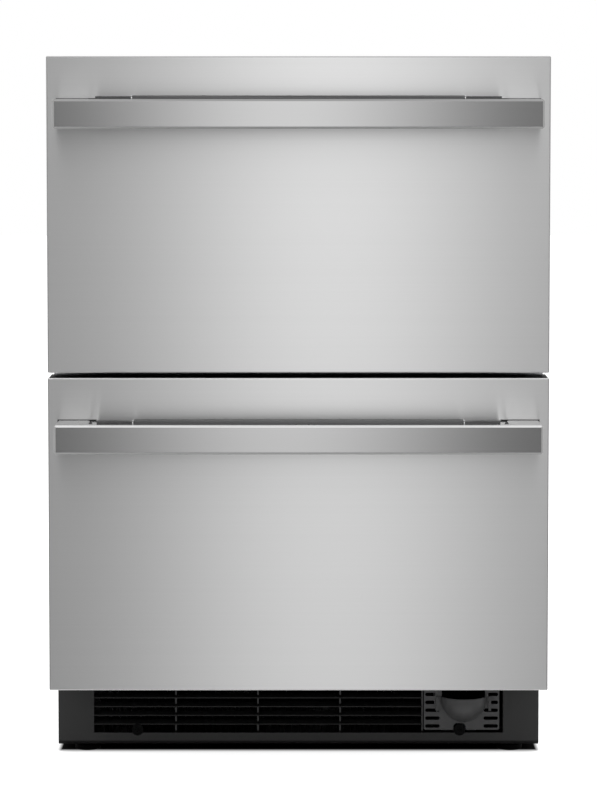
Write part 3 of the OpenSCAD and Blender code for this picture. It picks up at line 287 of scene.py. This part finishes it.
# Lamps: four large soft ones, over the front, to both sides and behind, that gloss doesn't
# see, so that they leave no streaks in the steel.
def lamp(name, power, width, height, place):
    """Soft rectangular lamp that points at the middle of the freezer."""
    data = bpy.data.lights.new(name, "AREA")
    data.shape = "RECTANGLE"
    data.size = width
    data.size_y = height
    data.energy = power
    thing = bpy.data.objects.new(name, data)
    thing.location = place
    aim = Vector(freezer_middle) - Vector(place)
    thing.rotation_euler = aim.to_track_quat("-Z", "Y").to_euler()
    thing.visible_glossy = False
    bpy.context.scene.collection.objects.link(thing)


freezer_middle = (0, 0, 0.45)
lamp("lamp_top", 50, 2.6, 1.8, (0, -1.2, 3.0))
lamp("lamp_left", 34, 1.8, 1.8, (-2.6, -1.8, 2.8))
lamp("lamp_right", 34, 1.8, 1.8, (2.6, -1.8, 2.8))
lamp("lamp_back", 60, 2.6, 1.8, (0, 3.4, 2.2))


# Cabinet wrapper: painted steel, folded from one sheet round both sides and the top, its
# edges broken, with a fine orange-peel texture in the dark grey powder coat.
def grain(made, scale, stretch=(1, 1, 1), detail=3.0):
    """Noise on the object's own coordinates, in metres, stretched by axis."""
    tree = made.node_tree
    where = tree.nodes.new("ShaderNodeTexCoord")
    mapping = tree.nodes.new("ShaderNodeMapping")
    mapping.inputs["Scale"].default_value = stretch
    noise = tree.nodes.new("ShaderNodeTexNoise")
    noise.inputs["Scale"].default_value = scale
    noise.inputs["Detail"].default_value = detail
    tree.links.new(where.outputs["Object"], mapping.inputs["Vector"])
    tree.links.new(mapping.outputs["Vector"], noise.inputs["Vector"])
    return noise.outputs["Fac"]


grain_low = 0.3
grain_high = 0.7


def vary_roughness(made, pattern, low, high):
    """A pattern moves the roughness between two values."""
    tree = made.node_tree
    moved = span(tree, pattern, grain_low, grain_high, low, high)
    tree.links.new(moved.outputs["Result"], tree.nodes["Principled BSDF"].inputs["Roughness"])


def relief(made, pattern, depth, strength=0.5):
    """A pattern raises the surface by a depth in metres."""
    tree = made.node_tree
    bump = tree.nodes.new("ShaderNodeBump")
    bump.inputs["Distance"].default_value = depth
    bump.inputs["Strength"].default_value = strength
    tree.links.new(pattern, bump.inputs["Height"])
    tree.links.new(bump.outputs["Normal"], tree.nodes["Principled BSDF"].inputs["Normal"])


def textured(name, colour, roughness, scale, strength=0.2, depth=0.0001, gloss=0.5):
    """Paint or plastic with a fine even relief."""
    made = principled(name, colour, roughness, gloss=gloss)
    relief(made, grain(made, scale), depth, strength)
    return made


body_of = {}
for body, members in frame["record"]["behaviour"]["bodies"].items():
    for member in members:
        body_of[member] = body


def even_normals(piece):
    """Shading follows the large faces and stays crisp at sharp edges."""
    normals = piece.modifiers.new("normals", "WEIGHTED_NORMAL")
    normals.keep_sharp = True


def add_piece(name, shape, made, *replaced):
    """A finished bmesh becomes a piece that stands for one or more CAD nodes."""
    bmesh.ops.recalc_face_normals(shape, faces=shape.faces)
    for face in shape.faces:
        face.smooth = True
    piece = new_object(name, shape)
    piece.data.materials.append(made)
    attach(piece, body_of[replaced[0]])
    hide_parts(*replaced)
    return piece


def break_edges(piece, width, segments=2):
    """Rounds the sharp edges of a piece, as deburring or a mould does."""
    bevel = piece.modifiers.new("edges", "BEVEL")
    bevel.width = width
    bevel.segments = segments
    bevel.limit_method = "ANGLE"
    bevel.angle_limit = math.radians(30)
    even_normals(piece)


def merged_copy(node):
    """Bmesh of a CAD node with its points merged and its flat faces joined."""
    shape = bmesh.new()
    shape.from_mesh(nodes[node].data)
    bmesh.ops.remove_doubles(shape, verts=shape.verts, dist=1e-5)
    bmesh.ops.dissolve_limit(shape, angle_limit=math.radians(0.5), verts=shape.verts,
                             edges=shape.edges)
    return shape


def soften(node, made, width, segments=2):
    """Copy of a CAD node with its edges rounded."""
    piece = add_piece(node + "_shape", merged_copy(node), made, node)
    break_edges(piece, width, segments)
    return piece


powder_coat = textured("cabinet_powder_coat", (0.055, 0.057, 0.06), 0.5, 900, 0.35, 0.0002)
vary_roughness(powder_coat, grain(powder_coat, 14), 0.49, 0.52)
soften("cabinet_wrapper", powder_coat, 0.0008)


# Sheet metal: the folded back and deck, the counter brackets and the slides are bare
# zinc-coated steel with its faint spangle, and the base tray is black, partly its paint and
# partly painted shade for the dark machine room behind the grille.
def vary_colour(made, pattern, dark, light):
    """A pattern moves the base colour between two tones."""
    tree = made.node_tree
    ramp = tree.nodes.new("ShaderNodeValToRGB")
    ramp.color_ramp.elements[0].position = grain_low
    ramp.color_ramp.elements[0].color = (*dark, 1)
    ramp.color_ramp.elements[1].position = grain_high
    ramp.color_ramp.elements[1].color = (*light, 1)
    tree.links.new(pattern, ramp.inputs["Fac"])
    tree.links.new(ramp.outputs["Color"], tree.nodes["Principled BSDF"].inputs["Base Color"])


zinc = principled("zinc_coated_steel", (0.5, 0.52, 0.54), 0.42, 1.0)
spangle = zinc.node_tree.nodes.new("ShaderNodeTexVoronoi")
spangle.inputs["Scale"].default_value = 90
spangle_place = zinc.node_tree.nodes.new("ShaderNodeTexCoord")
zinc.node_tree.links.new(spangle_place.outputs["Object"], spangle.inputs["Vector"])
vary_roughness(zinc, spangle.outputs["Distance"], 0.4, 0.46)
vary_colour(zinc, grain(zinc, 60), (0.5, 0.51, 0.52), (0.54, 0.55, 0.56))
for node in ("back_deck_panel", "counter_brackets", "slide_rails", "upper_slide_middle",
             "lower_slide_middle"):
    soften(node, zinc, 0.0003)
# the tray's black is partly paint and partly painted shade behind the grille
tray_paint_and_shade = textured("tray_paint_and_shade", (0.006, 0.006, 0.006), 0.6, 800, 0.25, gloss=0.2)
soften("base_tray", tray_paint_and_shade, 0.0003)


# Foam: rigid cream polyurethane, foamed in place between the wrapper and the liners. It
# fills their gaps exactly, so it keeps the CAD node's own mesh.
def paint(node, made):
    """A CAD node keeps its own mesh and gets a material."""
    mesh = nodes[node].data
    mesh.materials.clear()
    mesh.materials.append(made)


foam = textured("foam_cream", (0.78, 0.7, 0.48), 0.9, 260, 0.6, 0.0006)
vary_colour(foam, grain(foam, 9), (0.72, 0.63, 0.41), (0.82, 0.74, 0.52))
paint("insulation_foam", foam)

# Liners: one for each drawer, white styrene, drawn over a mould, with a soft gloss and
# round corners. The lower one steps over the machine room.
liner_plastic = textured("liner_styrene", (0.8, 0.81, 0.82), 0.28, 120, 0.15, 0.0002)
vary_roughness(liner_plastic, grain(liner_plastic, 8), 0.24, 0.34)
soften("upper_liner", liner_plastic, 0.0008)
soften("lower_liner", liner_plastic, 0.0008)

# Front frame: one painted steel plate round both openings, on which the gaskets of the
# drawers seal.
frame_paint = textured("frame_paint", (0.62, 0.63, 0.64), 0.38, 700)
soften("front_frame", frame_paint, 0.0003)

# Toe kick: black powder-coated steel under the fronts, set back, and rolled under along its
# lower edge, where the coat is painted darker: painted shade.
kick_coat_and_shade = []
for name, tone in (("kick_powder_coat", 0.043), ("kick_edge_painted_shade", 0.019)):
    coat = textured(name, (tone, tone, tone), 0.42, 1100, 0.3, gloss=0.2)
    vary_roughness(coat, grain(coat, 20), 0.38, 0.48)
    kick_coat_and_shade.append(coat)
kick_roll = 0.018
kick = soften("kick_frame", kick_coat_and_shade[0], 0.0004)
kick.data.materials.append(kick_coat_and_shade[1])
# the downward faces of the roll get the darker tone: painted shade
for face in kick.data.polygons:
    if face.center.z < kick_roll and face.normal.z < -0.1:
        face.material_index = 1

# Vent grille: moulded black plastic with thin louvres, and mullions a shade lighter in
# front. Black blocks over the foot of each mullion, where it meets the louvre below, are
# painted shade.
grille_plastic = textured("grille_plastic", (0.019, 0.019, 0.019), 0.45, 900, gloss=0.25)
mullion_plastic = textured("mullion_plastic", (0.046, 0.046, 0.046), 0.45, 900)
painted_shade_black = textured("painted_shade_black", (0.002, 0.002, 0.002), 0.8, 900, gloss=0.05)
kick_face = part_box("kick_frame")[0].y
mullion_face = kick_face + 0.001
grille_shade_height = 0.0028
grille_shade_lap = 0.0002
grille = soften("vent_grille", grille_plastic, 0.0003)
grille.data.materials.append(mullion_plastic)
# black blocks over each mullion's foot: painted shade
shape = bmesh.new()
for face in grille.data.polygons:
    if face.normal.y < -0.9 and abs(face.center.y - mullion_face) < 1e-4:
        face.material_index = 1
        corners = [grille.data.vertices[index].co for index in face.vertices]
        left = min(corner.x for corner in corners) - grille_shade_lap
        right = max(corner.x for corner in corners) + grille_shade_lap
        foot = min(corner.z for corner in corners)
        block = bmesh.ops.create_cube(shape, size=1)["verts"]
        bmesh.ops.scale(shape, vec=(right - left, 2 * grille_shade_lap, grille_shade_height), verts=block)
        bmesh.ops.translate(shape, vec=((left + right) / 2, mullion_face, foot + grille_shade_height / 2),
                            verts=block)
grille_shade_blocks = new_object("grille_painted_shade", shape)
grille_shade_blocks.data.materials.append(painted_shade_black)
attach(grille_shade_blocks, body_of["vent_grille"])

# Screws: black oxide steel, two with a cross recess in the kick and four plain round heads
# in the rear cover.
black_oxide = textured("black_oxide", (0.003, 0.003, 0.003), 0.5, 1500, gloss=0.08)
soften("screws", black_oxide, 0.0003)

# Filter flap: dark grey moulded plastic with a cup to pull it by, slots at both sides whose
# insides are painted black as painted shade, and hinge pins at its lower corners.
flap_plastic = textured("flap_plastic", (0.08, 0.08, 0.081), 0.4, 1300, 0.3, 0.00012)
vary_roughness(flap_plastic, grain(flap_plastic, 30), 0.4, 0.5)
flap_wall = 0.0005
flap = soften("filter_flap", flap_plastic, 0.0005)
flap.data.materials.append(painted_shade_black)
# faces behind the flap's front, seen through its slots, are painted black: painted shade
for face in flap.data.polygons:
    if face.center.y > kick_face + flap_wall and (face.normal.y < -0.1 or face.normal.z > 0.5):
        face.material_index = 1

# Water filter: white housing and cartridge behind the flap, closed by a dark cap that
# turns with the cartridge.
filter_plastic = textured("filter_plastic", (0.78, 0.79, 0.79), 0.35, 300, 0.15)
cap_plastic = textured("cap_plastic", (0.06, 0.065, 0.07), 0.4, 900)
soften("filter_housing", filter_plastic, 0.0006)
soften("filter_cartridge", filter_plastic, 0.001)
soften("filter_cap", cap_plastic, 0.0008)


# Machine room: black compressor on rubber grommets, black condenser, its black partly a coat
# and partly painted shade for the dark behind the grille, fan in its shroud, drain pan and
# copper tubes. The aluminium evaporator stands behind its cover in the upper compartment,
# and the legs have the black rubber of the grommets.
def bare_metal(name, colour, roughness, scale, low, high, stretch=(1, 1, 1)):
    """Uncoated metal whose gloss varies a little over its surface."""
    made = principled(name, colour, roughness, 1.0)
    vary_roughness(made, grain(made, scale, stretch), low, high)
    return made


compressor_paint = textured("compressor_paint", (0.02, 0.02, 0.021), 0.28, 350, 0.3, 0.0002)
soften("compressor", compressor_paint, 0.0015, 3)
rubber = textured("rubber_black", (0.004, 0.004, 0.004), 0.75, 800, 0.3, gloss=0.1)
soften("compressor_grommets", rubber, 0.001, 3)
for side in ("front_left", "front_right", "rear_left", "rear_right"):
    soften("leg_" + side, rubber, 0.0008)
# the coil's black is partly its coat and partly painted shade behind the grille
coil_black_and_shade = textured("coil_black_and_shade", (0.003, 0.003, 0.003), 0.85, 900, gloss=0.1)
soften("condenser_coil", coil_black_and_shade, 0.0002, 1)
aluminium = bare_metal("fin_aluminium", (0.72, 0.74, 0.76), 0.35, 120, 0.3, 0.45)
soften("evaporator_coil", aluminium, 0.0002, 1)
fan_plastic = textured("fan_plastic", (0.02, 0.02, 0.022), 0.42, 700)
soften("condenser_fan_shroud", fan_plastic, 0.0006)
soften("condenser_fan_blade", fan_plastic, 0.0004)
motor_metal = bare_metal("motor_metal", (0.3, 0.31, 0.32), 0.4, 200, 0.34, 0.5)
soften("fan_motors", motor_metal, 0.0005)
pan_plastic = textured("pan_plastic", (0.035, 0.035, 0.037), 0.5, 500, 0.25)
soften("drain_pan", pan_plastic, 0.0008)
copper = principled("copper", (0.8, 0.42, 0.27), 0.3, 1.0)
vary_colour(copper, grain(copper, 45), (0.62, 0.3, 0.19), (0.86, 0.48, 0.32))
soften("refrigerant_tubes", copper, 0.0003)

# Rear of the machine room: a grey painted cover with vent slots, the water valve, the
# power inlet and the control box.
cover_paint = textured("cover_paint", (0.16, 0.165, 0.17), 0.45, 700, 0.25)
soften("machine_cover", cover_paint, 0.0003)
valve_plastic = textured("valve_plastic", (0.75, 0.75, 0.72), 0.4, 500)
soften("water_inlet_valve", valve_plastic, 0.0007)
inlet_plastic = textured("inlet_plastic", (0.02, 0.02, 0.02), 0.4, 900)
soften("power_inlet", inlet_plastic, 0.0006)
box_plastic = textured("control_box_plastic", (0.45, 0.46, 0.47), 0.45, 700)
soften("control_box", box_plastic, 0.001)

# Compartments: white evaporator cover and fan, ice maker with its ejector and bail arm,
# control panel and light lenses.
cover_plastic = textured("cover_plastic", (0.82, 0.83, 0.84), 0.32, 400, 0.15)
soften("evaporator_cover", cover_plastic, 0.0005)
soften("evaporator_fan_blade", cover_plastic, 0.0004)
mould_metal = bare_metal("mould_metal", (0.6, 0.62, 0.64), 0.35, 150, 0.3, 0.44)
soften("ice_maker", mould_metal, 0.001)
ejector_plastic = textured("ejector_plastic", (0.78, 0.8, 0.82), 0.35, 500, 0.15)
soften("ice_ejector", ejector_plastic, 0.0006)
wire_metal = bare_metal("wire_metal", (0.62, 0.63, 0.65), 0.28, 400, 0.22, 0.34)
soften("ice_bail_arm", wire_metal, 0.0003)
panel_glass = principled("panel_glass", (0.01, 0.011, 0.012), 0.08)
vary_roughness(panel_glass, grain(panel_glass, 30), 0.06, 0.12)
soften("control_panel", panel_glass, 0.0008)
lens_plastic = textured("lens_plastic", (0.9, 0.92, 0.94), 0.25, 500, 0.3, 0.0002)
soften("light_lenses", lens_plastic, 0.0006)


# Drawer fronts: stainless skins folded back on all four sides and closed at the corners,
# with a long horizontal grain. Their side and top folds are painted darker, and the two
# flanges that face each other in the gap are painted black: both painted shade. Behind them
# a grey inner panel and its gasket.
def brushed_steel(name, colour, roughness, anisotropy, lean=0.0):
    """Steel brushed along X, with a tangent across the grain, its face a little off square."""
    made = principled(name, colour, roughness, 1.0)
    tree = made.node_tree
    shader = tree.nodes["Principled BSDF"]
    shader.inputs["Anisotropic"].default_value = anisotropy
    normal = tree.nodes.new("ShaderNodeNewGeometry")
    across = tree.nodes.new("ShaderNodeVectorMath")
    across.operation = "CROSS_PRODUCT"
    across.inputs[1].default_value = brush_way
    tree.links.new(normal.outputs["Normal"], across.inputs[0])
    tree.links.new(across.outputs["Vector"], shader.inputs["Tangent"])
    if lean:
        leaning = tree.nodes.new("ShaderNodeVectorMath")
        leaning.operation = "ADD"
        leaning.inputs[1].default_value = (lean, 0, 0)
        tree.links.new(normal.outputs["Normal"], leaning.inputs[0])
        tree.links.new(leaning.outputs["Vector"], shader.inputs["Normal"])
    brush = grain(made, 1, brush_lines, 4)
    vary_roughness(made, brush, roughness - brush_play, roughness + brush_play)
    dark = [part * streak_shade for part in colour]
    vary_colour(made, grain(made, 1, brush_streaks), dark, colour)
    return made


brush_way = (1, 0.04, 0)
brush_lines = (2.2, 30, 1500)
brush_streaks = (1.2, 20, 700)
brush_play = 0.008
streak_shade = 0.985
sheet = 0.0012
fold_radius = 0.0018
fold_line = front_high.z - 2 * fold_radius
front_steel = brushed_steel("front_steel", (0.7, 0.7, 0.7), 0.29, 0.9)
fold_painted_shade_steel = brushed_steel("fold_painted_shade_steel", (0.47, 0.47, 0.47), 0.29, 0.9)
gap_flange_painted_shade = textured("gap_flange_painted_shade", (0.006, 0.006, 0.006), 0.5, 700, gloss=0.1)


def folded_front(node, gap_side):
    """Shallow tray of sheet steel, open to the rear, its side and top folds painted darker and its
    flange in the gap painted black, both painted shade.
    """
    low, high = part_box(node)
    shape = bmesh.new()
    bmesh.ops.create_cube(shape, size=1)
    bmesh.ops.scale(shape, vec=high - low, verts=shape.verts)
    bmesh.ops.translate(shape, vec=(low + high) / 2, verts=shape.verts)
    rear = [face for face in shape.faces if face.normal.y > 0.5]
    folds = [edge for edge in shape.edges if rear[0] not in edge.link_faces]
    bmesh.ops.delete(shape, geom=rear, context="FACES_ONLY")
    bmesh.ops.bevel(shape, geom=folds, offset=fold_radius, offset_type="OFFSET", segments=5,
                    profile=0.5, affect="EDGES", material=-1)
    # side and top folds get darker steel and the flange in the gap black: painted shade
    for face in shape.faces:
        upright = abs(face.normal.x) > 0.2
        if -0.999 < face.normal.y < -0.1 and (upright or face.calc_center_median().z > fold_line):
            face.material_index = 1
        if face.normal.z * gap_side > 0.995:
            face.material_index = 2
    piece = add_piece(node + "_sheet", shape, front_steel, node)
    piece.data.materials.append(fold_painted_shade_steel)
    piece.data.materials.append(gap_flange_painted_shade)
    wall = piece.modifiers.new("sheet", "SOLIDIFY")
    wall.thickness = sheet
    wall.offset = -1
    even_normals(piece)


folded_front("upper_front_skin", -1)
folded_front("lower_front_skin", 1)
panel_plastic = textured("inner_panel_plastic", (0.62, 0.63, 0.65), 0.35, 400, 0.15)
gasket_vinyl = textured("gasket_vinyl", (0.55, 0.55, 0.54), 0.6, 600)
for level in ("upper", "lower"):
    soften(level + "_inner_panel", panel_plastic, 0.001)
    soften(level + "_gasket", gasket_vinyl, 0.001)

# Handles: a square stainless bar brushed along its front, with smooth sides, chamfers and
# solid returns, on tapered polished posts. The upper handle's chamfer is painted darker and
# the lower one's lighter, and the bar's underside darker: painted shade and highlight. Black
# blocks between the posts and the returns, and black strips behind the returns, are painted
# shade. A dark knurled grip between two rings stands a little higher than the back of the bar.
bar_steel = brushed_steel("bar_steel", (0.435, 0.435, 0.435), 0.14, 0.8, lean=0.0105)
in_depth = (40, 4, 900)
along_bar = (4, 40, 900)
bar_side_steel = bare_metal("bar_side_steel", (0.67, 0.67, 0.67), 0.26, 1, 0.24, 0.28, in_depth)
# the bar's underside and other edges get darker steel: painted shade
bar_underside_painted_shade = bare_metal("bar_underside_painted_shade", (0.42, 0.42, 0.42), 0.42, 1, 0.4, 0.44, in_depth)
chamfer_painted_light = {}
# the upper chamfer is painted darker and the lower one lighter: painted shade and highlight
for level, tone in (("upper", 0.28), ("lower", 0.6)):
    chamfer_painted_light[level] = bare_metal(level + "_chamfer_painted_light", (tone, tone, tone), 0.3, 1, 0.28,
                                      0.32, along_bar)
# black for the blocks and strips at the returns: painted shade
handle_painted_shade_black = textured("handle_painted_shade_black", (0.006, 0.006, 0.006), 0.6, 900)
post_steel = bare_metal("post_steel", (0.8, 0.8, 0.8), 0.12, 300, 0.1, 0.18)
grip_metal = bare_metal("grip_metal", (0.13, 0.13, 0.132), 0.24, 500, 0.2, 0.28)
knurl_metal = bare_metal("knurl_metal", (0.13, 0.13, 0.132), 0.34, 900, 0.3, 0.4)
knurl_half_length = 0.197
knurl_pitch = 0.0013
knurl_height = 0.0004
grip_corner = 0.007
grip_nose = 0.003
grip_rise = 0.0045
grip_steps = 16
ring_width = 0.0012
ring_height = 0.0004
# sizes of the black blocks and strips that stand in for shade at the returns
shade_block_tip = 0.2455
shade_block_foot = 0.2512
shade_block_drop = 0.0008
shade_block_steps = 8
return_inner = 0.251
return_bend = 0.01
shadow_strip_thick = 0.001
shadow_strip_inner = 0.2435
shadow_strip_rise = 0.0006


def bar_finish(way):
    """Slot for a face of the bar: 0 front, 1 side, 2 upper chamfer, 3 any other edge."""
    if way.z < -0.4:
        return 3
    if 0.4 < way.z < 0.9:
        return 2
    if way.y > -0.3:
        return 1
    return 3 if abs(way.x) > 0.4 else 0


def grip_outline(low, high):
    """Points and outward ways round the grip, one for each row of the knurling."""
    bends = ((low.y + grip_nose, high.z - grip_nose, grip_nose, 180),
             (high.y - grip_corner, high.z - grip_corner, grip_corner, 90),
             (high.y - grip_corner, low.z + grip_corner, grip_corner, 0))
    stops = [(low.y, high.z - grip_rise, -1.0, 0.0)]
    for y, z, radius, start in bends:
        for step in range(grip_steps + 1):
            angle = math.radians(start - 90 * step / grip_steps)
            out_y, out_z = math.cos(angle), math.sin(angle)
            stops.append((y + radius * out_y, z + radius * out_z, out_y, out_z))
    stops.append((low.y, low.z, 0.0, -1.0))
    lengths = [math.dist(one[:2], two[:2]) for one, two in zip(stops, stops[1:])]
    rows = round(sum(lengths) / knurl_pitch)
    outline = []
    for row in range(rows + 1):
        ahead = row / rows * sum(lengths)
        at = 0
        while at < len(lengths) - 1 and ahead > lengths[at]:
            ahead -= lengths[at]
            at += 1
        part = min(ahead / lengths[at], 1) if lengths[at] else 0
        outline.append([one + (two - one) * part for one, two in zip(stops[at], stops[at + 1])])
    return outline


def knurled_grip(node):
    """Smooth core with its two rings, and diamond knurling wrapped round its middle."""
    low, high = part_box(node)
    middle = (low.z + high.z) / 2
    stretch = (high.z + grip_rise - middle) / (high.z - middle)
    shape = merged_copy(node)
    for vert in shape.verts:
        if vert.co.z > middle:
            vert.co.z = middle + (vert.co.z - middle) * stretch
    nose = [edge for edge in shape.edges if edge.calc_length() > grip_corner
            and all(vert.co.y < low.y + 1e-4 and vert.co.z > middle for vert in edge.verts)]
    bmesh.ops.bevel(shape, geom=nose, offset=grip_nose, offset_type="OFFSET", segments=5,
                    profile=0.5, affect="EDGES", material=-1)
    core = set(shape.faces)
    high.z += grip_rise
    columns = round(2 * knurl_half_length / knurl_pitch)
    outline = grip_outline(low, high)
    rows = len(outline) - 1
    grid = bmesh.ops.create_grid(shape, x_segments=columns, y_segments=rows, size=0.5)
    valleys = set()
    for vert in grid["verts"]:
        column = round((vert.co.x + 0.5) * columns)
        row = round((vert.co.y + 0.5) * rows)
        y, z, out_y, out_z = outline[row]
        proud = knurl_height if (column + row) % 2 == 0 else 0.0
        if proud == 0.0 or column in (0, columns) or row in (0, rows):
            valleys.add(vert)
            proud = 0.0
        vert.co = ((column / columns - 0.5) * 2 * knurl_half_length, y + out_y * proud,
                   z + out_z * proud)
    for face in [face for face in shape.faces if face not in core]:
        corners = [vert for vert in face.verts if vert in valleys]
        if len(corners) == 2:
            bmesh.utils.face_split(face, *corners)
    for face in shape.faces:
        if face not in core:
            face.material_index = 1
    knurling = set(shape.faces)
    for side in (-1, 1):
        ring = bmesh.ops.create_grid(shape, x_segments=3, y_segments=rows, size=0.5)
        for vert in ring["verts"]:
            column = round((vert.co.x + 0.5) * 3)
            y, z, out_y, out_z = outline[round((vert.co.y + 0.5) * rows)]
            proud = ring_height if column in (1, 2) else 0.0
            inset = ring_width if column > 1 else 0.0
            vert.co = (side * (knurl_half_length + inset), y + out_y * proud, z + out_z * proud)
    for face in shape.faces:
        if face not in knurling:
            face.material_index = 2
    piece = add_piece(node + "_shape", shape, grip_metal, node)
    piece.data.materials.append(knurl_metal)
    piece.data.materials.append(post_steel)
    even_normals(piece)


def return_painted_shade(level):
    """Black blocks between the posts and the bent returns, and thin black strips behind the
    returns, all painted shade.
    """
    post_low, post_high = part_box(level + "_handle_posts")
    bar_low, bar_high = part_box(level + "_handle_bar")
    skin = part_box(level + "_front_skin")[0].y
    front, rear = post_low.y, post_high.y
    outline = [(shade_block_tip, front), (return_inner, front)]
    for step in range(shade_block_steps + 1):
        angle = math.radians(90 * step / shade_block_steps)
        outline.append((return_inner + return_bend * (1 - math.cos(angle)),
                        rear - return_bend * (1 - math.sin(angle))))
    outline.append((shade_block_foot, rear))
    shadow_strip_outer = bar_high.x - shadow_strip_rise / 2
    shadow_strip_size = (shadow_strip_outer - shadow_strip_inner, shadow_strip_thick, bar_high.z - bar_low.z + shadow_strip_rise)
    shape = bmesh.new()
    for side in (-1, 1):
        rim = [shape.verts.new((side * x, y, post_high.z - shade_block_drop)) for x, y in outline]
        body = bmesh.ops.extrude_face_region(shape, geom=[shape.faces.new(rim)])
        foot = [item for item in body["geom"] if isinstance(item, bmesh.types.BMVert)]
        bmesh.ops.translate(shape, vec=(0, 0, post_low.z - post_high.z + shade_block_drop), verts=foot)
        shadow_strip = bmesh.ops.create_cube(shape, size=1)["verts"]
        bmesh.ops.scale(shape, vec=shadow_strip_size, verts=shadow_strip)
        bmesh.ops.translate(shape, vec=(side * (shadow_strip_outer + shadow_strip_inner) / 2, skin - shadow_strip_thick / 2,
                                        (bar_high.z + bar_low.z + shadow_strip_rise) / 2), verts=shadow_strip)
    bmesh.ops.recalc_face_normals(shape, faces=shape.faces)
    piece = new_object(level + "_handle_painted_shade", shape)
    piece.data.materials.append(handle_painted_shade_black)
    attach(piece, body_of[level + "_handle_posts"])
    break_edges(piece, 0.0002)


for level in ("upper", "lower"):
    bar = soften(level + "_handle_bar", bar_steel, 0.0004)
    for finish in (bar_side_steel, chamfer_painted_light[level], bar_underside_painted_shade):
        bar.data.materials.append(finish)
    for face in bar.data.polygons:
        face.material_index = bar_finish(face.normal)
    return_painted_shade(level)
    soften(level + "_handle_posts", post_steel, 0.0004)
    knurled_grip(level + "_handle_grip")

# Drawers: zinc-coated frames that carry clear plastic bins, a divider in the upper one and
# a white ice bin in the lower one.
bin_plastic = textured("bin_plastic", (0.82, 0.86, 0.89), 0.16, 60, 0.1, 0.0002)
bin_shader = bin_plastic.node_tree.nodes["Principled BSDF"]
bin_shader.inputs["Transmission Weight"].default_value = 0.6
bin_shader.inputs["IOR"].default_value = 1.49
ice_bin_plastic = textured("ice_bin_plastic", (0.8, 0.81, 0.82), 0.3, 300, 0.15)
soften("upper_drawer_frame", zinc, 0.0003)
soften("lower_drawer_frame", zinc, 0.0003)
soften("upper_bin", bin_plastic, 0.0008)
soften("lower_bin", bin_plastic, 0.0008)
soften("upper_divider", bin_plastic, 0.0006)
soften("ice_bin", ice_bin_plastic, 0.0008)
